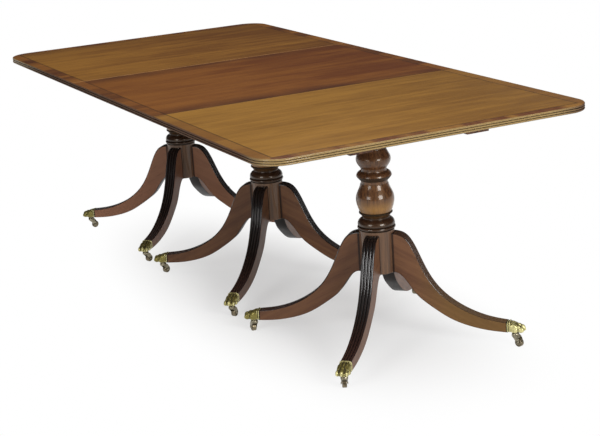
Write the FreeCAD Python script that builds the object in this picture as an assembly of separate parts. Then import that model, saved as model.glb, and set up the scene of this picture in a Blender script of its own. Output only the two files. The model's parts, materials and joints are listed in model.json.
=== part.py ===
import FreeCAD, Part
import math
import os
from FreeCAD import Placement, Rotation, Vector

# Triple pedestal dining table, in millimetres.
# The table stands on the plane z = 0, its length runs along X and its width along Y.
# The origin is on the floor under the middle column.

# Table tops
TABLE_HEIGHT = 730.0
TABLE_WIDTH = 1095.0
MIDDLE_LENGTH = 745.0
END_LENGTH = 777.0
SEAM_GAP = 0.4
SEAM_ARRIS = 0.8
TOP_THICKNESS = 20.0
CORNER_RADIUS = 85.0
EDGE_REEDS = 3
EDGE_REED_DEPTH = 2.4
EDGE_STRIP_DEPTH = 8.0
END_COLUMN_INSET = 382.5

# Bearers, block, pivot and turn button under each top
BEARER_WIDTH = 75.0
BEARER_DEPTH = 32.0
BEARER_SPREAD = 390.0
BEARER_OUTER_INSET = 100.0
BEARER_SEAM_INSET = 60.0
BLOCK_THICKNESS = 44.0
BLOCK_INNER_REACH = 100.0
BLOCK_SIDE_GAP = 0.5
BLOCK_NOSE_GAP = 0.3
PIVOT_OFFSET = 85.0
PIVOT_DROP = 16.0
PIVOT_RADIUS = 6.0
PIVOT_RUNNING_GAP = 0.06
PIVOT_BITE = 40.0
BUTTON_LENGTH = 38.0
BUTTON_TAIL = 12.0
BUTTON_WIDTH = 16.0
BUTTON_THICKNESS = 4.0
BUTTON_DROP = 14.0
BUTTON_STANDOFF = 22.0
BUTTON_BOSS_RADIUS = 7.0
BUTTON_SLOT_GAP = 1.5
SCREWS_PER_BEARER = 3
BEARER_SCREW_RADIUS = 2.5
BEARER_SCREW_HEAD_RADIUS = 4.8
BEARER_SCREW_HEAD_HEIGHT = 3.0
BEARER_SCREW_BITE = 11.0
BEARER_SCREW_POCKET = 12.0
BEARER_SCREW_END_INSET = 90.0

# Turned column and hub, from the bottom up; a bulge or hollow is how far an arc leaves its chord
HUB_RADIUS = 55.0
HUB_HEIGHT = 137.0
HUB_RING_BULGE = 4.3
HUB_RING_HEIGHT = 13.0
BASE_FOOT_RADIUS = 57.0
BASE_BULGE = 4.6
BASE_HEIGHT = 21.0
NECK_RADIUS = 42.0
NECK_HEIGHT = 3.0
COLLAR_RADIUS = 50.6
COLLAR_RISE = 12.0
COLLAR_HOLLOW = 1.3
COLLAR_HEIGHT = 4.0
VASE_FOOT_RADIUS = 49.0
VASE_RADIUS = 58.8
VASE_SHOULDER_RADIUS = 51.4
VASE_TOP_RADIUS = 42.0
VASE_BELLY_RISE = 43.0
VASE_SHOULDER_RISE = 67.0
VASE_HEIGHT = 89.0
FILLET_RADIUS = 42.5
FILLET_HEIGHT = 11.0
RING_RADIUS = 54.8
RING_HEIGHT = 28.0
RING_FLANK_BULGE = 1.6
UPPER_FILLET_RADIUS = 38.5
UPPER_FILLET_HEIGHT = 5.0
BULB_FLANK_RADIUS = 45.6
BULB_FLANK_RISE = 12.0
BULB_RADIUS = 53.4
BULB_BELLY_RISE = 31.0
BULB_SHOULDER_RADIUS = 46.6
BULB_SHOULDER_RISE = 51.0
BULB_HEIGHT = 64.0
CAPITAL_RADIUS = 64.0
CAPITAL_RISE = 36.0
CAPITAL_HOLLOW = 8.3
CAPITAL_EDGE = 12.0
TENON_RADIUS = 24.0
TENON_FIT = 0.1
TENON_TOP_GAP = 4.0

# Legs: the sabre curve as shares, with the way out from root to toe, and the heights of the
# upper face and the underside above the toe as parts of their heights at the root
LEG_CURVE = [
    (0.0, 1.0, 1.0),
    (0.045, 0.996, 0.997),
    (0.102, 0.974, 0.922),
    (0.164, 0.898, 0.761),
    (0.221, 0.759, 0.611),
    (0.283, 0.58, 0.5),
    (0.38, 0.38, 0.364),
    (0.521, 0.214, 0.197),
    (0.72, 0.08, 0.067),
    (0.861, 0.027, 0.019),
    (1.0, 0.0, 0.0),
]
LEG_REACH = 399.0
LEG_ROOT_BITE = 9.0
LEG_ROOT_DROP = 11.0
LEG_TOE_STEP = 1.0
LEG_TOE_LIFT = 1.0
LEG_HUB_WIDTH = 42.0
LEG_TOE_WIDTH = 33.0
LEG_REEDS = 4
LEG_REED_DEPTH = 1.9
LEG_HUB_GAP = 0.1
TONGUE_INNER_RADIUS = 30.0
TONGUE_INNER_WIDTH = 24.0
TONGUE_NECK_WIDTH = 16.0
TONGUE_STOP = 32.0
TONGUE_OVERLAP = 8.0
TONGUE_FIT = 0.1
PLATE_RADIUS = 40.0
PLATE_REACH = 60.0
PLATE_ARM_WIDTH = 22.0
PLATE_THICKNESS = 3.0
PLATE_SCREW_RADIUS = 2.2
PLATE_SCREW_HEAD_RADIUS = 4.6
PLATE_SCREW_LENGTH = 24.0
PLATE_SCREW_PLACE = 45.0
SCREW_FIT = 0.05

# Brass toe caps and casters
CAP_LENGTH = 55.0
CAP_SIDE_PROUD = 1.5
CAP_FLARE = 3.5
CAP_HEIGHT = 34.0
CAP_COLLAR_PROUD = 0.8
CAP_COLLAR_WIDTH = 3.0
CAP_SIDE_WALL = 3.5
CAP_BASE = 5.0
CAP_ROOF = 3.5
CAP_FRONT_WALL = 6.0
CAP_SOCKET_FIT = 0.1
CAP_BODY_DROP = 9.0
TOE_RADIUS = 11.0
TOE_SIDE_RADIUS = 10.0
TOE_SPREAD = 13.0
TOE_SIDE_SETBACK = 4.5
TOE_OVERHANG = 6.0
STEM_SETBACK = 3.0
STEM_RADIUS = 3.5
STEM_RUNNING_GAP = 0.08
STEM_HEAD_RADIUS = 5.2
STEM_HEAD_HEIGHT = 2.4
STEM_ROOM = 0.8
STEM_END_GAP = 0.3
WHEEL_RADIUS = 13.0
WHEEL_WIDTH = 14.0
WHEEL_EDGE = 1.8
WHEEL_BOSS_RADIUS = 5.0
WHEEL_DISH = 1.4
CASTER_TRAIL = 14.0
CHEEK_GAP = 0.5
CHEEK_THICKNESS = 2.4
CHEEK_BOSS_RADIUS = 5.5
CHEEK_SHOULDER = 8.0
CHEEK_FRONT_BULGE = 4.5
CHEEK_BACK_HOLLOW = 1.5
CROWN_RADIUS = 11.4
CROWN_THICKNESS = 10.0
CROWN_WHEEL_GAP = 5.0
HORN_NECK_RADIUS = 7.0
HORN_NECK_HEIGHT = 3.7
AXLE_RADIUS = 2.5
AXLE_RUNNING_GAP = 0.08
AXLE_HEAD_RADIUS = 3.9
AXLE_HEAD_HEIGHT = 1.3
AXLE_FIT = 0.02

# Where each caster trails to, in degrees about +Z, as they stand
TRAIL_ANGLES = {
    ("right", "front_right"): 153.0,
    ("right", "front_left"): 172.0,
    ("right", "back_right"): 15.0,
    ("right", "back_left"): 120.0,
    ("middle", "front_right"): 125.0,
    ("middle", "front_left"): 113.0,
    ("middle", "back_right"): 75.0,
    ("middle", "back_left"): 20.0,
    ("left", "front_right"): 110.0,
    ("left", "front_left"): 65.0,
    ("left", "back_right"): 215.0,
    ("left", "back_left"): 330.0,
}
CORNER_ANGLES = {"front_right": -45.0, "back_right": 45.0, "back_left": 135.0, "front_left": 225.0}

# Heights and places that follow from the sizes above
UNDERSIDE = TABLE_HEIGHT - TOP_THICKNESS
PIVOT_Z = UNDERSIDE - PIVOT_DROP
BLOCK_BOTTOM = UNDERSIDE - BLOCK_THICKNESS
BLOCK_WIDTH = BEARER_SPREAD - BEARER_WIDTH - 2 * BLOCK_SIDE_GAP
END_SEAM_X = MIDDLE_LENGTH / 2 + SEAM_GAP
END_OUTER_X = END_SEAM_X + END_LENGTH
END_AXIS_X = END_OUTER_X - END_COLUMN_INSET
COLLAR_TOP_TO_HUB = HUB_RING_HEIGHT + BASE_HEIGHT + NECK_HEIGHT + COLLAR_RISE + COLLAR_HEIGHT
CAPITAL_TO_COLLAR = (VASE_HEIGHT + FILLET_HEIGHT + RING_HEIGHT + UPPER_FILLET_HEIGHT + BULB_HEIGHT
                     + UPPER_FILLET_HEIGHT + CAPITAL_RISE + CAPITAL_EDGE)
HUB_TOP = BLOCK_BOTTOM - CAPITAL_TO_COLLAR - COLLAR_TOP_TO_HUB
HUB_BOTTOM = HUB_TOP - HUB_HEIGHT
TONGUE_HEIGHT = HUB_HEIGHT - TONGUE_STOP
CROWN_LOW = 2 * WHEEL_RADIUS + CROWN_WHEEL_GAP
CROWN_TOP = CROWN_LOW + CROWN_THICKNESS
CAP_BOTTOM = CROWN_TOP + HORN_NECK_HEIGHT + STEM_END_GAP
CAP_TOP = CAP_BOTTOM + CAP_HEIGHT
CAP_WIDTH = LEG_TOE_WIDTH + 2 * CAP_SIDE_PROUD
CAP_BODY_LENGTH = CAP_LENGTH - TOE_RADIUS - TOE_OVERHANG
CAP_SOCKET_DEPTH = CAP_BODY_LENGTH - CAP_FRONT_WALL
SWIVEL_REACH = LEG_REACH + CAP_SOCKET_DEPTH - STEM_HEAD_RADIUS - STEM_ROOM - STEM_SETBACK
STEM_TOP = CAP_BOTTOM + CAP_BASE + STEM_END_GAP + STEM_HEAD_HEIGHT
LEG_ROOT = HUB_RADIUS - LEG_ROOT_BITE
LEG_ROOT_TOP = HUB_TOP - LEG_ROOT_DROP
LEG_TOE_TOP = CAP_TOP - LEG_TOE_STEP
LEG_TOE_BOTTOM = CAP_BOTTOM + LEG_TOE_LIFT
X_AXIS = Vector(1, 0, 0)
Y_AXIS = Vector(0, 1, 0)
Z_AXIS = Vector(0, 0, 1)
TINY = 1e-6


def box(x0, x1, y0, y1, z0, z1):
    """A block between two corners."""
    return Part.makeBox(x1 - x0, y1 - y0, z1 - z0, Vector(x0, y0, z0))


def cylinder(radius, z0, z1, x=0.0, y=0.0):
    """An upright cylinder."""
    return Part.makeCylinder(radius, z1 - z0, Vector(x, y, z0))


def cross_pin(radius, y0, y1, x, z):
    """A cylinder lying along Y."""
    return Part.makeCylinder(radius, y1 - y0, Vector(x, y0, z), Y_AXIS)


def placed(shape, x=0.0, y=0.0, turn=0.0):
    """A copy turned about the Z axis and then moved in plan."""
    copy = shape.copy()
    copy.Placement = Placement(Vector(x, y, 0), Rotation(Z_AXIS, turn)).multiply(copy.Placement)
    return copy


def polygon_face(points):
    """A flat face with straight sides."""
    return Part.Face(Part.makePolygon(points + points[:1]))


def line(a, b):
    return Part.LineSegment(a, b).toShape()


def arc(a, through, b):
    return Part.Arc(a, through, b).toShape()


def bowed(a, b, rise):
    """An arc in an upright plane along X that leaves its chord by rise, on the right of the way."""
    aside = Y_AXIS.cross(b - a).normalize()
    return arc(a, (a + b) * 0.5 + aside * rise, b)


def save(name, solids):
    """Write one node, a single solid or a group of separate solids."""
    shape = solids[0] if len(solids) == 1 else Part.makeCompound(solids)
    shape.exportStep(os.path.join("parts", name + ".step"))


# Tops


def reed_strip_face():
    """Cross-section of the reeded strip round the core of a top; x = 0 is the core and +X is outwards."""
    root = EDGE_STRIP_DEPTH - EDGE_REED_DEPTH
    levels = [UNDERSIDE + TOP_THICKNESS * index / EDGE_REEDS for index in range(EDGE_REEDS + 1)]
    edges = [
        line(Vector(root, 0, levels[-1]), Vector(0, 0, levels[-1])),
        line(Vector(0, 0, levels[-1]), Vector(0, 0, levels[0])),
        line(Vector(0, 0, levels[0]), Vector(root, 0, levels[0])),
    ]
    for low, high in zip(levels, levels[1:]):
        crown = Vector(EDGE_STRIP_DEPTH, 0, (low + high) / 2)
        edges.append(arc(Vector(root, 0, low), crown, Vector(root, 0, high)))
    return Part.Face(Part.Wire(edges))


def straight_reeds(start, end, turn):
    """Reeded strip along a straight edge; turn is the outward direction in plan."""
    strip = placed(reed_strip_face(), start.x, start.y, turn)
    return strip.extrude(end - start)


def corner_reeds(centre, turn):
    """Reeded strip round a quarter corner that begins facing turn."""
    strip = reed_strip_face()
    strip.translate(Vector(CORNER_RADIUS - EDGE_STRIP_DEPTH, 0, 0))
    strip = placed(strip, centre.x, centre.y, turn)
    return strip.revolve(centre, Z_AXIS, 90)


def seam_arris(seam_x, inward):
    """The small bevel along the upper edge of a seam; inward is +1 or -1 along X."""
    edge = Vector(seam_x, -TABLE_WIDTH, TABLE_HEIGHT)
    back = edge + Vector(inward * SEAM_ARRIS, 0, 0)
    down = edge + Vector(0, 0, -SEAM_ARRIS)
    return polygon_face([edge, back, down]).extrude(Vector(0, 2 * TABLE_WIDTH, 0))


def end_top():
    """Top of the right end section: reeded on three sides, with two rounded corners."""
    core_y = TABLE_WIDTH / 2 - EDGE_STRIP_DEPTH
    core_x = END_OUTER_X - EDGE_STRIP_DEPTH
    centre_x = END_OUTER_X - CORNER_RADIUS
    centre_y = TABLE_WIDTH / 2 - CORNER_RADIUS
    core = box(END_SEAM_X, core_x, -core_y, core_y, UNDERSIDE, TABLE_HEIGHT)
    corners = [edge for edge in core.Edges
               if abs(edge.CenterOfMass.x - core_x) < TINY and edge.BoundBox.YLength < TINY]
    core = core.makeFillet(CORNER_RADIUS - EDGE_STRIP_DEPTH, corners)
    strips = [
        straight_reeds(Vector(END_SEAM_X, -core_y, 0), Vector(centre_x, -core_y, 0), -90),
        corner_reeds(Vector(centre_x, -centre_y, 0), -90),
        straight_reeds(Vector(core_x, -centre_y, 0), Vector(core_x, centre_y, 0), 0),
        corner_reeds(Vector(centre_x, centre_y, 0), 0),
        straight_reeds(Vector(centre_x, core_y, 0), Vector(END_SEAM_X, core_y, 0), 90),
    ]
    top = core.multiFuse(strips).removeSplitter()
    return top.cut(seam_arris(END_SEAM_X, 1)).Solids[0]


def middle_top():
    """Top of the middle section: reeded along the two long sides only."""
    core_y = TABLE_WIDTH / 2 - EDGE_STRIP_DEPTH
    half = MIDDLE_LENGTH / 2
    core = box(-half, half, -core_y, core_y, UNDERSIDE, TABLE_HEIGHT)
    strips = [
        straight_reeds(Vector(-half, -core_y, 0), Vector(half, -core_y, 0), -90),
        straight_reeds(Vector(half, core_y, 0), Vector(-half, core_y, 0), 90),
    ]
    top = core.multiFuse(strips).removeSplitter()
    for inward, seam_x in ((1, -half), (-1, half)):
        top = top.cut(seam_arris(seam_x, inward))
    return top.Solids[0]


# Bearers, pivot pins and their screws; a section's own axis is at x = 0 and its outer end at +X


def bearer_span(inner_edge, outer_edge, outer_is_seam):
    """Ends of a bearer along X, from the edges of its top."""
    outer_inset = BEARER_SEAM_INSET if outer_is_seam else BEARER_OUTER_INSET
    return inner_edge + BEARER_SEAM_INSET, outer_edge - outer_inset


def screw_places(span):
    """Places of the screws along a bearer."""
    first = span[0] + BEARER_SCREW_END_INSET
    last = span[1] - BEARER_SCREW_END_INSET
    return [first + (last - first) * index / (SCREWS_PER_BEARER - 1) for index in range(SCREWS_PER_BEARER)]


def bearer_screw(x, y, grow=0.0):
    """A wood screw driven up through a bearer; grow gives its hole."""
    head_bottom = UNDERSIDE - BEARER_DEPTH + BEARER_SCREW_POCKET
    head_top = head_bottom + BEARER_SCREW_HEAD_HEIGHT
    head = Part.makeCone(BEARER_SCREW_HEAD_RADIUS + grow, BEARER_SCREW_RADIUS + grow,
                         BEARER_SCREW_HEAD_HEIGHT, Vector(x, y, head_bottom))
    shank = cylinder(BEARER_SCREW_RADIUS + grow, head_top, UNDERSIDE + BEARER_SCREW_BITE + grow, x, y)
    return head.fuse(shank).removeSplitter()


def bearer_screws(span, grow=0.0):
    sides = (-BEARER_SPREAD / 2, BEARER_SPREAD / 2)
    return [bearer_screw(x, y, grow) for y in sides for x in screw_places(span)]


def bearer(span, y):
    """One flat bearer, bored for its pin and screws."""
    bottom = UNDERSIDE - BEARER_DEPTH
    side = y - BEARER_WIDTH / 2
    body = box(span[0], span[1], side, side + BEARER_WIDTH, bottom, UNDERSIDE)
    holes = [cross_pin(PIVOT_RADIUS + AXLE_FIT, side, side + BEARER_WIDTH, PIVOT_OFFSET, PIVOT_Z)]
    for x in screw_places(span):
        holes.append(bearer_screw(x, y, SCREW_FIT))
        pocket_radius = BEARER_SCREW_HEAD_RADIUS + SCREW_FIT
        holes.append(cylinder(pocket_radius, bottom, bottom + BEARER_SCREW_POCKET, x, y))
    return body.cut(holes).Solids[0]


def bearers(span):
    return [bearer(span, y) for y in (-BEARER_SPREAD / 2, BEARER_SPREAD / 2)]


def pivot_pins():
    """Two pins driven through the bearers and running in the block."""
    outer = BEARER_SPREAD / 2 + BEARER_WIDTH / 2
    inner = BLOCK_WIDTH / 2 - PIVOT_BITE
    return [
        cross_pin(PIVOT_RADIUS, inner, outer, PIVOT_OFFSET, PIVOT_Z),
        cross_pin(PIVOT_RADIUS, -outer, -inner, PIVOT_OFFSET, PIVOT_Z),
    ]


def drilled_top(top, span):
    """The top with pilot holes for its bearer screws."""
    return top.cut(bearer_screws(span, SCREW_FIT)).Solids[0]


# Block and turn button


def button_slot():
    """Slot in the block's inner face that the turn button swings into."""
    low = UNDERSIDE - BUTTON_DROP - BUTTON_SLOT_GAP
    high = UNDERSIDE - BUTTON_DROP + BUTTON_THICKNESS + BUTTON_SLOT_GAP
    depth = BUTTON_LENGTH - BUTTON_STANDOFF + BUTTON_SLOT_GAP
    half = BUTTON_WIDTH / 2 + BUTTON_SLOT_GAP
    return box(-BLOCK_INNER_REACH, -BLOCK_INNER_REACH + depth, -BUTTON_LENGTH - half, half, low, high)


def block():
    """Block on the column: nose rounded about the pivot, mortise for the tenon, slot for the button."""
    half = BLOCK_WIDTH / 2
    body = box(-BLOCK_INNER_REACH, PIVOT_OFFSET, -half, half, BLOCK_BOTTOM, UNDERSIDE)
    nose_radius = PIVOT_DROP - BLOCK_NOSE_GAP
    nose_end = PIVOT_OFFSET + nose_radius
    nose = cross_pin(nose_radius, -half, half, PIVOT_OFFSET, PIVOT_Z)
    chin = box(PIVOT_OFFSET, nose_end, -half, half, BLOCK_BOTTOM, PIVOT_Z)
    bore = PIVOT_RADIUS + PIVOT_RUNNING_GAP
    holes = [
        cylinder(TENON_RADIUS + TENON_FIT, BLOCK_BOTTOM, UNDERSIDE),
        cross_pin(bore, half - PIVOT_BITE - BLOCK_SIDE_GAP, half, PIVOT_OFFSET, PIVOT_Z),
        cross_pin(bore, -half, -half + PIVOT_BITE + BLOCK_SIDE_GAP, PIVOT_OFFSET, PIVOT_Z),
        button_slot(),
    ]
    return body.multiFuse([nose, chin]).removeSplitter().cut(holes).Solids[0]


def turn_button():
    """Brass turn button: a bar on a round boss that is screwed up to the underside of the top."""
    x = -BLOCK_INNER_REACH - BUTTON_STANDOFF
    low = UNDERSIDE - BUTTON_DROP
    half = BUTTON_WIDTH / 2
    bar = box(x - half, x + half, -BUTTON_LENGTH + half, BUTTON_TAIL - half, low, low + BUTTON_THICKNESS)
    tip = cylinder(half, low, low + BUTTON_THICKNESS, x, -BUTTON_LENGTH + half)
    tail = cylinder(half, low, low + BUTTON_THICKNESS, x, BUTTON_TAIL - half)
    boss = cylinder(BUTTON_BOSS_RADIUS, low, UNDERSIDE, x, 0)
    return bar.multiFuse([tip, tail, boss]).removeSplitter()


# Column


def column_outline():
    """Half outline of the turned column, from the bottom up, as one closed wire in the XZ plane."""
    edges = []
    here = Vector(0, 0, HUB_BOTTOM)

    def straight(radius, rise=0.0):
        """A straight turning to a radius, rise above the last point."""
        nonlocal here
        there = Vector(radius, 0, here.z + rise)
        edges.append(line(here, there))
        here = there

    def rounded(radius, rise, bulge):
        """A round to a radius, rise above the last point; a negative bulge makes a hollow."""
        nonlocal here
        there = Vector(radius, 0, here.z + rise)
        edges.append(bowed(here, there, bulge))
        here = there

    def swelled(*stages):
        """A smooth swelling through (radius, rise) stages, with each rise counted from its foot."""
        nonlocal here
        points = [here] + [Vector(radius, 0, here.z + rise) for radius, rise in stages]
        curve = Part.BSplineCurve()
        curve.interpolate(points)
        edges.append(curve.toShape())
        here = points[-1]

    straight(HUB_RADIUS)
    straight(HUB_RADIUS, HUB_HEIGHT)
    rounded(HUB_RADIUS, HUB_RING_HEIGHT, HUB_RING_BULGE)
    straight(BASE_FOOT_RADIUS)
    rounded(NECK_RADIUS, BASE_HEIGHT, BASE_BULGE)
    straight(NECK_RADIUS, NECK_HEIGHT)
    rounded(COLLAR_RADIUS, COLLAR_RISE, -COLLAR_HOLLOW)
    straight(COLLAR_RADIUS, COLLAR_HEIGHT)
    straight(VASE_FOOT_RADIUS)
    swelled(
        (VASE_RADIUS, VASE_BELLY_RISE),
        (VASE_SHOULDER_RADIUS, VASE_SHOULDER_RISE),
        (VASE_TOP_RADIUS, VASE_HEIGHT),
    )
    straight(FILLET_RADIUS)
    straight(FILLET_RADIUS, FILLET_HEIGHT)
    rounded(RING_RADIUS, RING_HEIGHT / 2, RING_FLANK_BULGE)
    rounded(FILLET_RADIUS, RING_HEIGHT / 2, RING_FLANK_BULGE)
    straight(UPPER_FILLET_RADIUS)
    straight(UPPER_FILLET_RADIUS, UPPER_FILLET_HEIGHT)
    swelled(
        (BULB_FLANK_RADIUS, BULB_FLANK_RISE),
        (BULB_RADIUS, BULB_BELLY_RISE),
        (BULB_SHOULDER_RADIUS, BULB_SHOULDER_RISE),
        (UPPER_FILLET_RADIUS, BULB_HEIGHT),
    )
    straight(UPPER_FILLET_RADIUS, UPPER_FILLET_HEIGHT)
    rounded(CAPITAL_RADIUS, CAPITAL_RISE, -CAPITAL_HOLLOW)
    straight(CAPITAL_RADIUS, CAPITAL_EDGE)
    straight(TENON_RADIUS)
    straight(TENON_RADIUS, BLOCK_THICKNESS - TENON_TOP_GAP)
    straight(0)
    edges.append(line(here, Vector(0, 0, HUB_BOTTOM)))
    return Part.Wire(edges)


def tongue(grow):
    """Dovetail tongue of a leg, or its socket in the hub with grow as the fit; +X is outwards."""
    inner = TONGUE_INNER_RADIUS - grow
    wide = TONGUE_INNER_WIDTH / 2 + grow
    narrow = TONGUE_NECK_WIDTH / 2 + grow
    outer = HUB_RADIUS + TONGUE_OVERLAP
    plan = [
        Vector(inner, -wide, HUB_BOTTOM),
        Vector(HUB_RADIUS - LEG_HUB_GAP, -narrow, HUB_BOTTOM),
        Vector(outer, -narrow, HUB_BOTTOM),
        Vector(outer, narrow, HUB_BOTTOM),
        Vector(HUB_RADIUS - LEG_HUB_GAP, narrow, HUB_BOTTOM),
        Vector(inner, wide, HUB_BOTTOM),
    ]
    return polygon_face(plan).extrude(Vector(0, 0, TONGUE_HEIGHT + grow))


def column():
    """The turned column with four dovetail sockets round its hub."""
    turning = Part.Face(column_outline()).revolve(Vector(0, 0, 0), Z_AXIS, 360)
    turning = Part.Solid(turning.Shells[0])
    sockets = [placed(tongue(TONGUE_FIT), turn=angle) for angle in CORNER_ANGLES.values()]
    return turning.cut(sockets).Solids[0]


# Legs


def leg_station(share, top_share, bottom_share):
    """Reach, top and underside of the leg at one point of its curve."""
    reach = LEG_ROOT + (LEG_REACH - LEG_ROOT) * share
    top = LEG_TOE_TOP + (LEG_ROOT_TOP - LEG_TOE_TOP) * top_share
    bottom = LEG_TOE_BOTTOM + (HUB_BOTTOM - LEG_TOE_BOTTOM) * bottom_share
    return reach, top, bottom


def leg_slope(index):
    """Rise over run of the leg's top at a point of its curve."""
    before = leg_station(*LEG_CURVE[max(index - 1, 0)])
    after = leg_station(*LEG_CURVE[min(index + 1, len(LEG_CURVE) - 1)])
    return (after[1] - before[1]) / (after[0] - before[0])


def leg_section(index):
    """Upright section of a leg: flat sides and underside, reeded top."""
    reach, top, bottom = leg_station(*LEG_CURVE[index])
    width = LEG_HUB_WIDTH + (LEG_TOE_WIDTH - LEG_HUB_WIDTH) * LEG_CURVE[index][0]
    depth = LEG_REED_DEPTH * math.hypot(1.0, leg_slope(index))
    pitch = width / LEG_REEDS
    root = top - depth
    left = -width / 2
    edges = [
        line(Vector(reach, left, root), Vector(reach, left, bottom)),
        line(Vector(reach, left, bottom), Vector(reach, -left, bottom)),
        line(Vector(reach, -left, bottom), Vector(reach, -left, root)),
    ]
    for reed in range(LEG_REEDS):
        start = -left - reed * pitch
        crown = Vector(reach, start - pitch / 2, top)
        edges.append(arc(Vector(reach, start, root), crown, Vector(reach, start - pitch, root)))
    return Part.Wire(edges)


def plate_screw(x, grow=0.0):
    """A countersunk screw driven up through the leg plate; grow gives its hole."""
    low = HUB_BOTTOM - PLATE_THICKNESS
    head = Part.makeCone(PLATE_SCREW_HEAD_RADIUS + grow, PLATE_SCREW_RADIUS + grow, PLATE_THICKNESS,
                         Vector(x, 0, low))
    shank = cylinder(PLATE_SCREW_RADIUS + grow, HUB_BOTTOM, HUB_BOTTOM + PLATE_SCREW_LENGTH + grow, x, 0)
    return head.fuse(shank).removeSplitter()


def toe_tenon(grow):
    """Shouldered end of a leg inside its cap, or the cap's socket with grow as the fit; its top slopes."""
    half = CAP_WIDTH / 2 - CAP_SIDE_WALL - CAP_SOCKET_FIT + grow
    low = CAP_BOTTOM + CAP_BASE + CAP_SOCKET_FIT - grow
    high = CAP_TOP - CAP_ROOF - CAP_SOCKET_FIT + grow
    end = LEG_REACH + CAP_SOCKET_DEPTH + grow
    end_high = high - CAP_BODY_DROP * (end - LEG_REACH) / CAP_BODY_LENGTH
    side = [
        Vector(LEG_REACH, -half, low),
        Vector(LEG_REACH, -half, high),
        Vector(end, -half, end_high),
        Vector(end, -half, low),
    ]
    return polygon_face(side).extrude(Vector(0, 2 * half, 0))


def stem_recess():
    """Room in the leg's toe for the riveted head of the caster's stem."""
    return cylinder(STEM_HEAD_RADIUS + STEM_ROOM, CAP_BOTTOM, STEM_TOP + STEM_ROOM, SWIVEL_REACH, 0)


def leg():
    """A sabre leg pointing along +X, with its dovetail tongue and its toe tenon."""
    sections = [leg_section(index) for index in range(len(LEG_CURVE))]
    blade = Part.makeLoft(sections, True)
    blade = blade.cut(cylinder(HUB_RADIUS + LEG_HUB_GAP, 0, TABLE_HEIGHT))
    body = blade.multiFuse([tongue(0.0), toe_tenon(0.0)])
    return body.cut([plate_screw(PLATE_SCREW_PLACE, SCREW_FIT), stem_recess()]).Solids[0]


def leg_plate():
    """Iron plate that holds the four tongues up in their sockets, drilled for its screws."""
    low = HUB_BOTTOM - PLATE_THICKNESS
    half = PLATE_ARM_WIDTH / 2
    arm = box(0, PLATE_REACH, -half, half, low, HUB_BOTTOM)
    arms = [placed(arm, turn=angle) for angle in CORNER_ANGLES.values()]
    plate = cylinder(PLATE_RADIUS, low, HUB_BOTTOM).multiFuse(arms).removeSplitter()
    return plate.cut(plate_screws(SCREW_FIT)).Solids[0]


def plate_screws(grow=0.0):
    """The four screws of a leg plate; grow gives their holes."""
    screw = plate_screw(PLATE_SCREW_PLACE, grow)
    return [placed(screw, turn=angle) for angle in CORNER_ANGLES.values()]


# Toe caps and casters


def toe(reach, y, radius):
    """One rounded toe of the paw."""
    return Part.makeSphere(radius, Vector(reach, y, CAP_BOTTOM + radius))


def cap_section(reach, half, top):
    """Upright rectangular section of a cap's body."""
    corners = [
        Vector(reach, -half, CAP_BOTTOM),
        Vector(reach, half, CAP_BOTTOM),
        Vector(reach, half, top),
        Vector(reach, -half, top),
    ]
    return Part.makePolygon(corners + corners[:1])


def toe_cap():
    """Brass paw cap on a leg that points along +X: collar, flaring body, three toes, bore for the stem."""
    start = LEG_REACH
    half = CAP_WIDTH / 2
    body = Part.makeLoft([
        cap_section(start, half, CAP_TOP),
        cap_section(start + CAP_BODY_LENGTH, half + CAP_FLARE, CAP_TOP - CAP_BODY_DROP),
    ], True, True)
    proud = CAP_COLLAR_PROUD
    collar = box(start, start + CAP_COLLAR_WIDTH, -half - proud, half + proud, CAP_BOTTOM, CAP_TOP + proud)
    tip = start + CAP_LENGTH
    side_tip = tip - TOE_SIDE_SETBACK - TOE_SIDE_RADIUS
    toes = [
        toe(tip - TOE_RADIUS, 0, TOE_RADIUS),
        toe(side_tip, -TOE_SPREAD, TOE_SIDE_RADIUS),
        toe(side_tip, TOE_SPREAD, TOE_SIDE_RADIUS),
    ]
    solid = body.multiFuse([collar] + toes)
    bore = cylinder(STEM_RADIUS + STEM_RUNNING_GAP, CAP_BOTTOM, STEM_TOP, SWIVEL_REACH, 0)
    return solid.cut([toe_tenon(CAP_SOCKET_FIT), bore]).Solids[0]


def wheel():
    """Caster wheel on the Y axis through its own hub, with rounded tread edges and dished sides."""
    half = WHEEL_WIDTH / 2
    disc = cross_pin(WHEEL_RADIUS, -half, half, CASTER_TRAIL, WHEEL_RADIUS)
    rims = [edge for edge in disc.Edges if abs(abs(edge.CenterOfMass.y) - half) < TINY]
    disc = disc.makeFillet(WHEEL_EDGE, rims)
    dish_radius = WHEEL_RADIUS - 2 * WHEEL_EDGE
    cuts = [cross_pin(AXLE_RADIUS + AXLE_RUNNING_GAP, -half, half, CASTER_TRAIL, WHEEL_RADIUS)]
    for y0, y1 in ((-half, -half + WHEEL_DISH), (half - WHEEL_DISH, half)):
        ring = cross_pin(dish_radius, y0, y1, CASTER_TRAIL, WHEEL_RADIUS)
        cuts.append(ring.cut(cross_pin(WHEEL_BOSS_RADIUS, y0, y1, CASTER_TRAIL, WHEEL_RADIUS)))
    return disc.cut(cuts).Solids[0]


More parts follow.
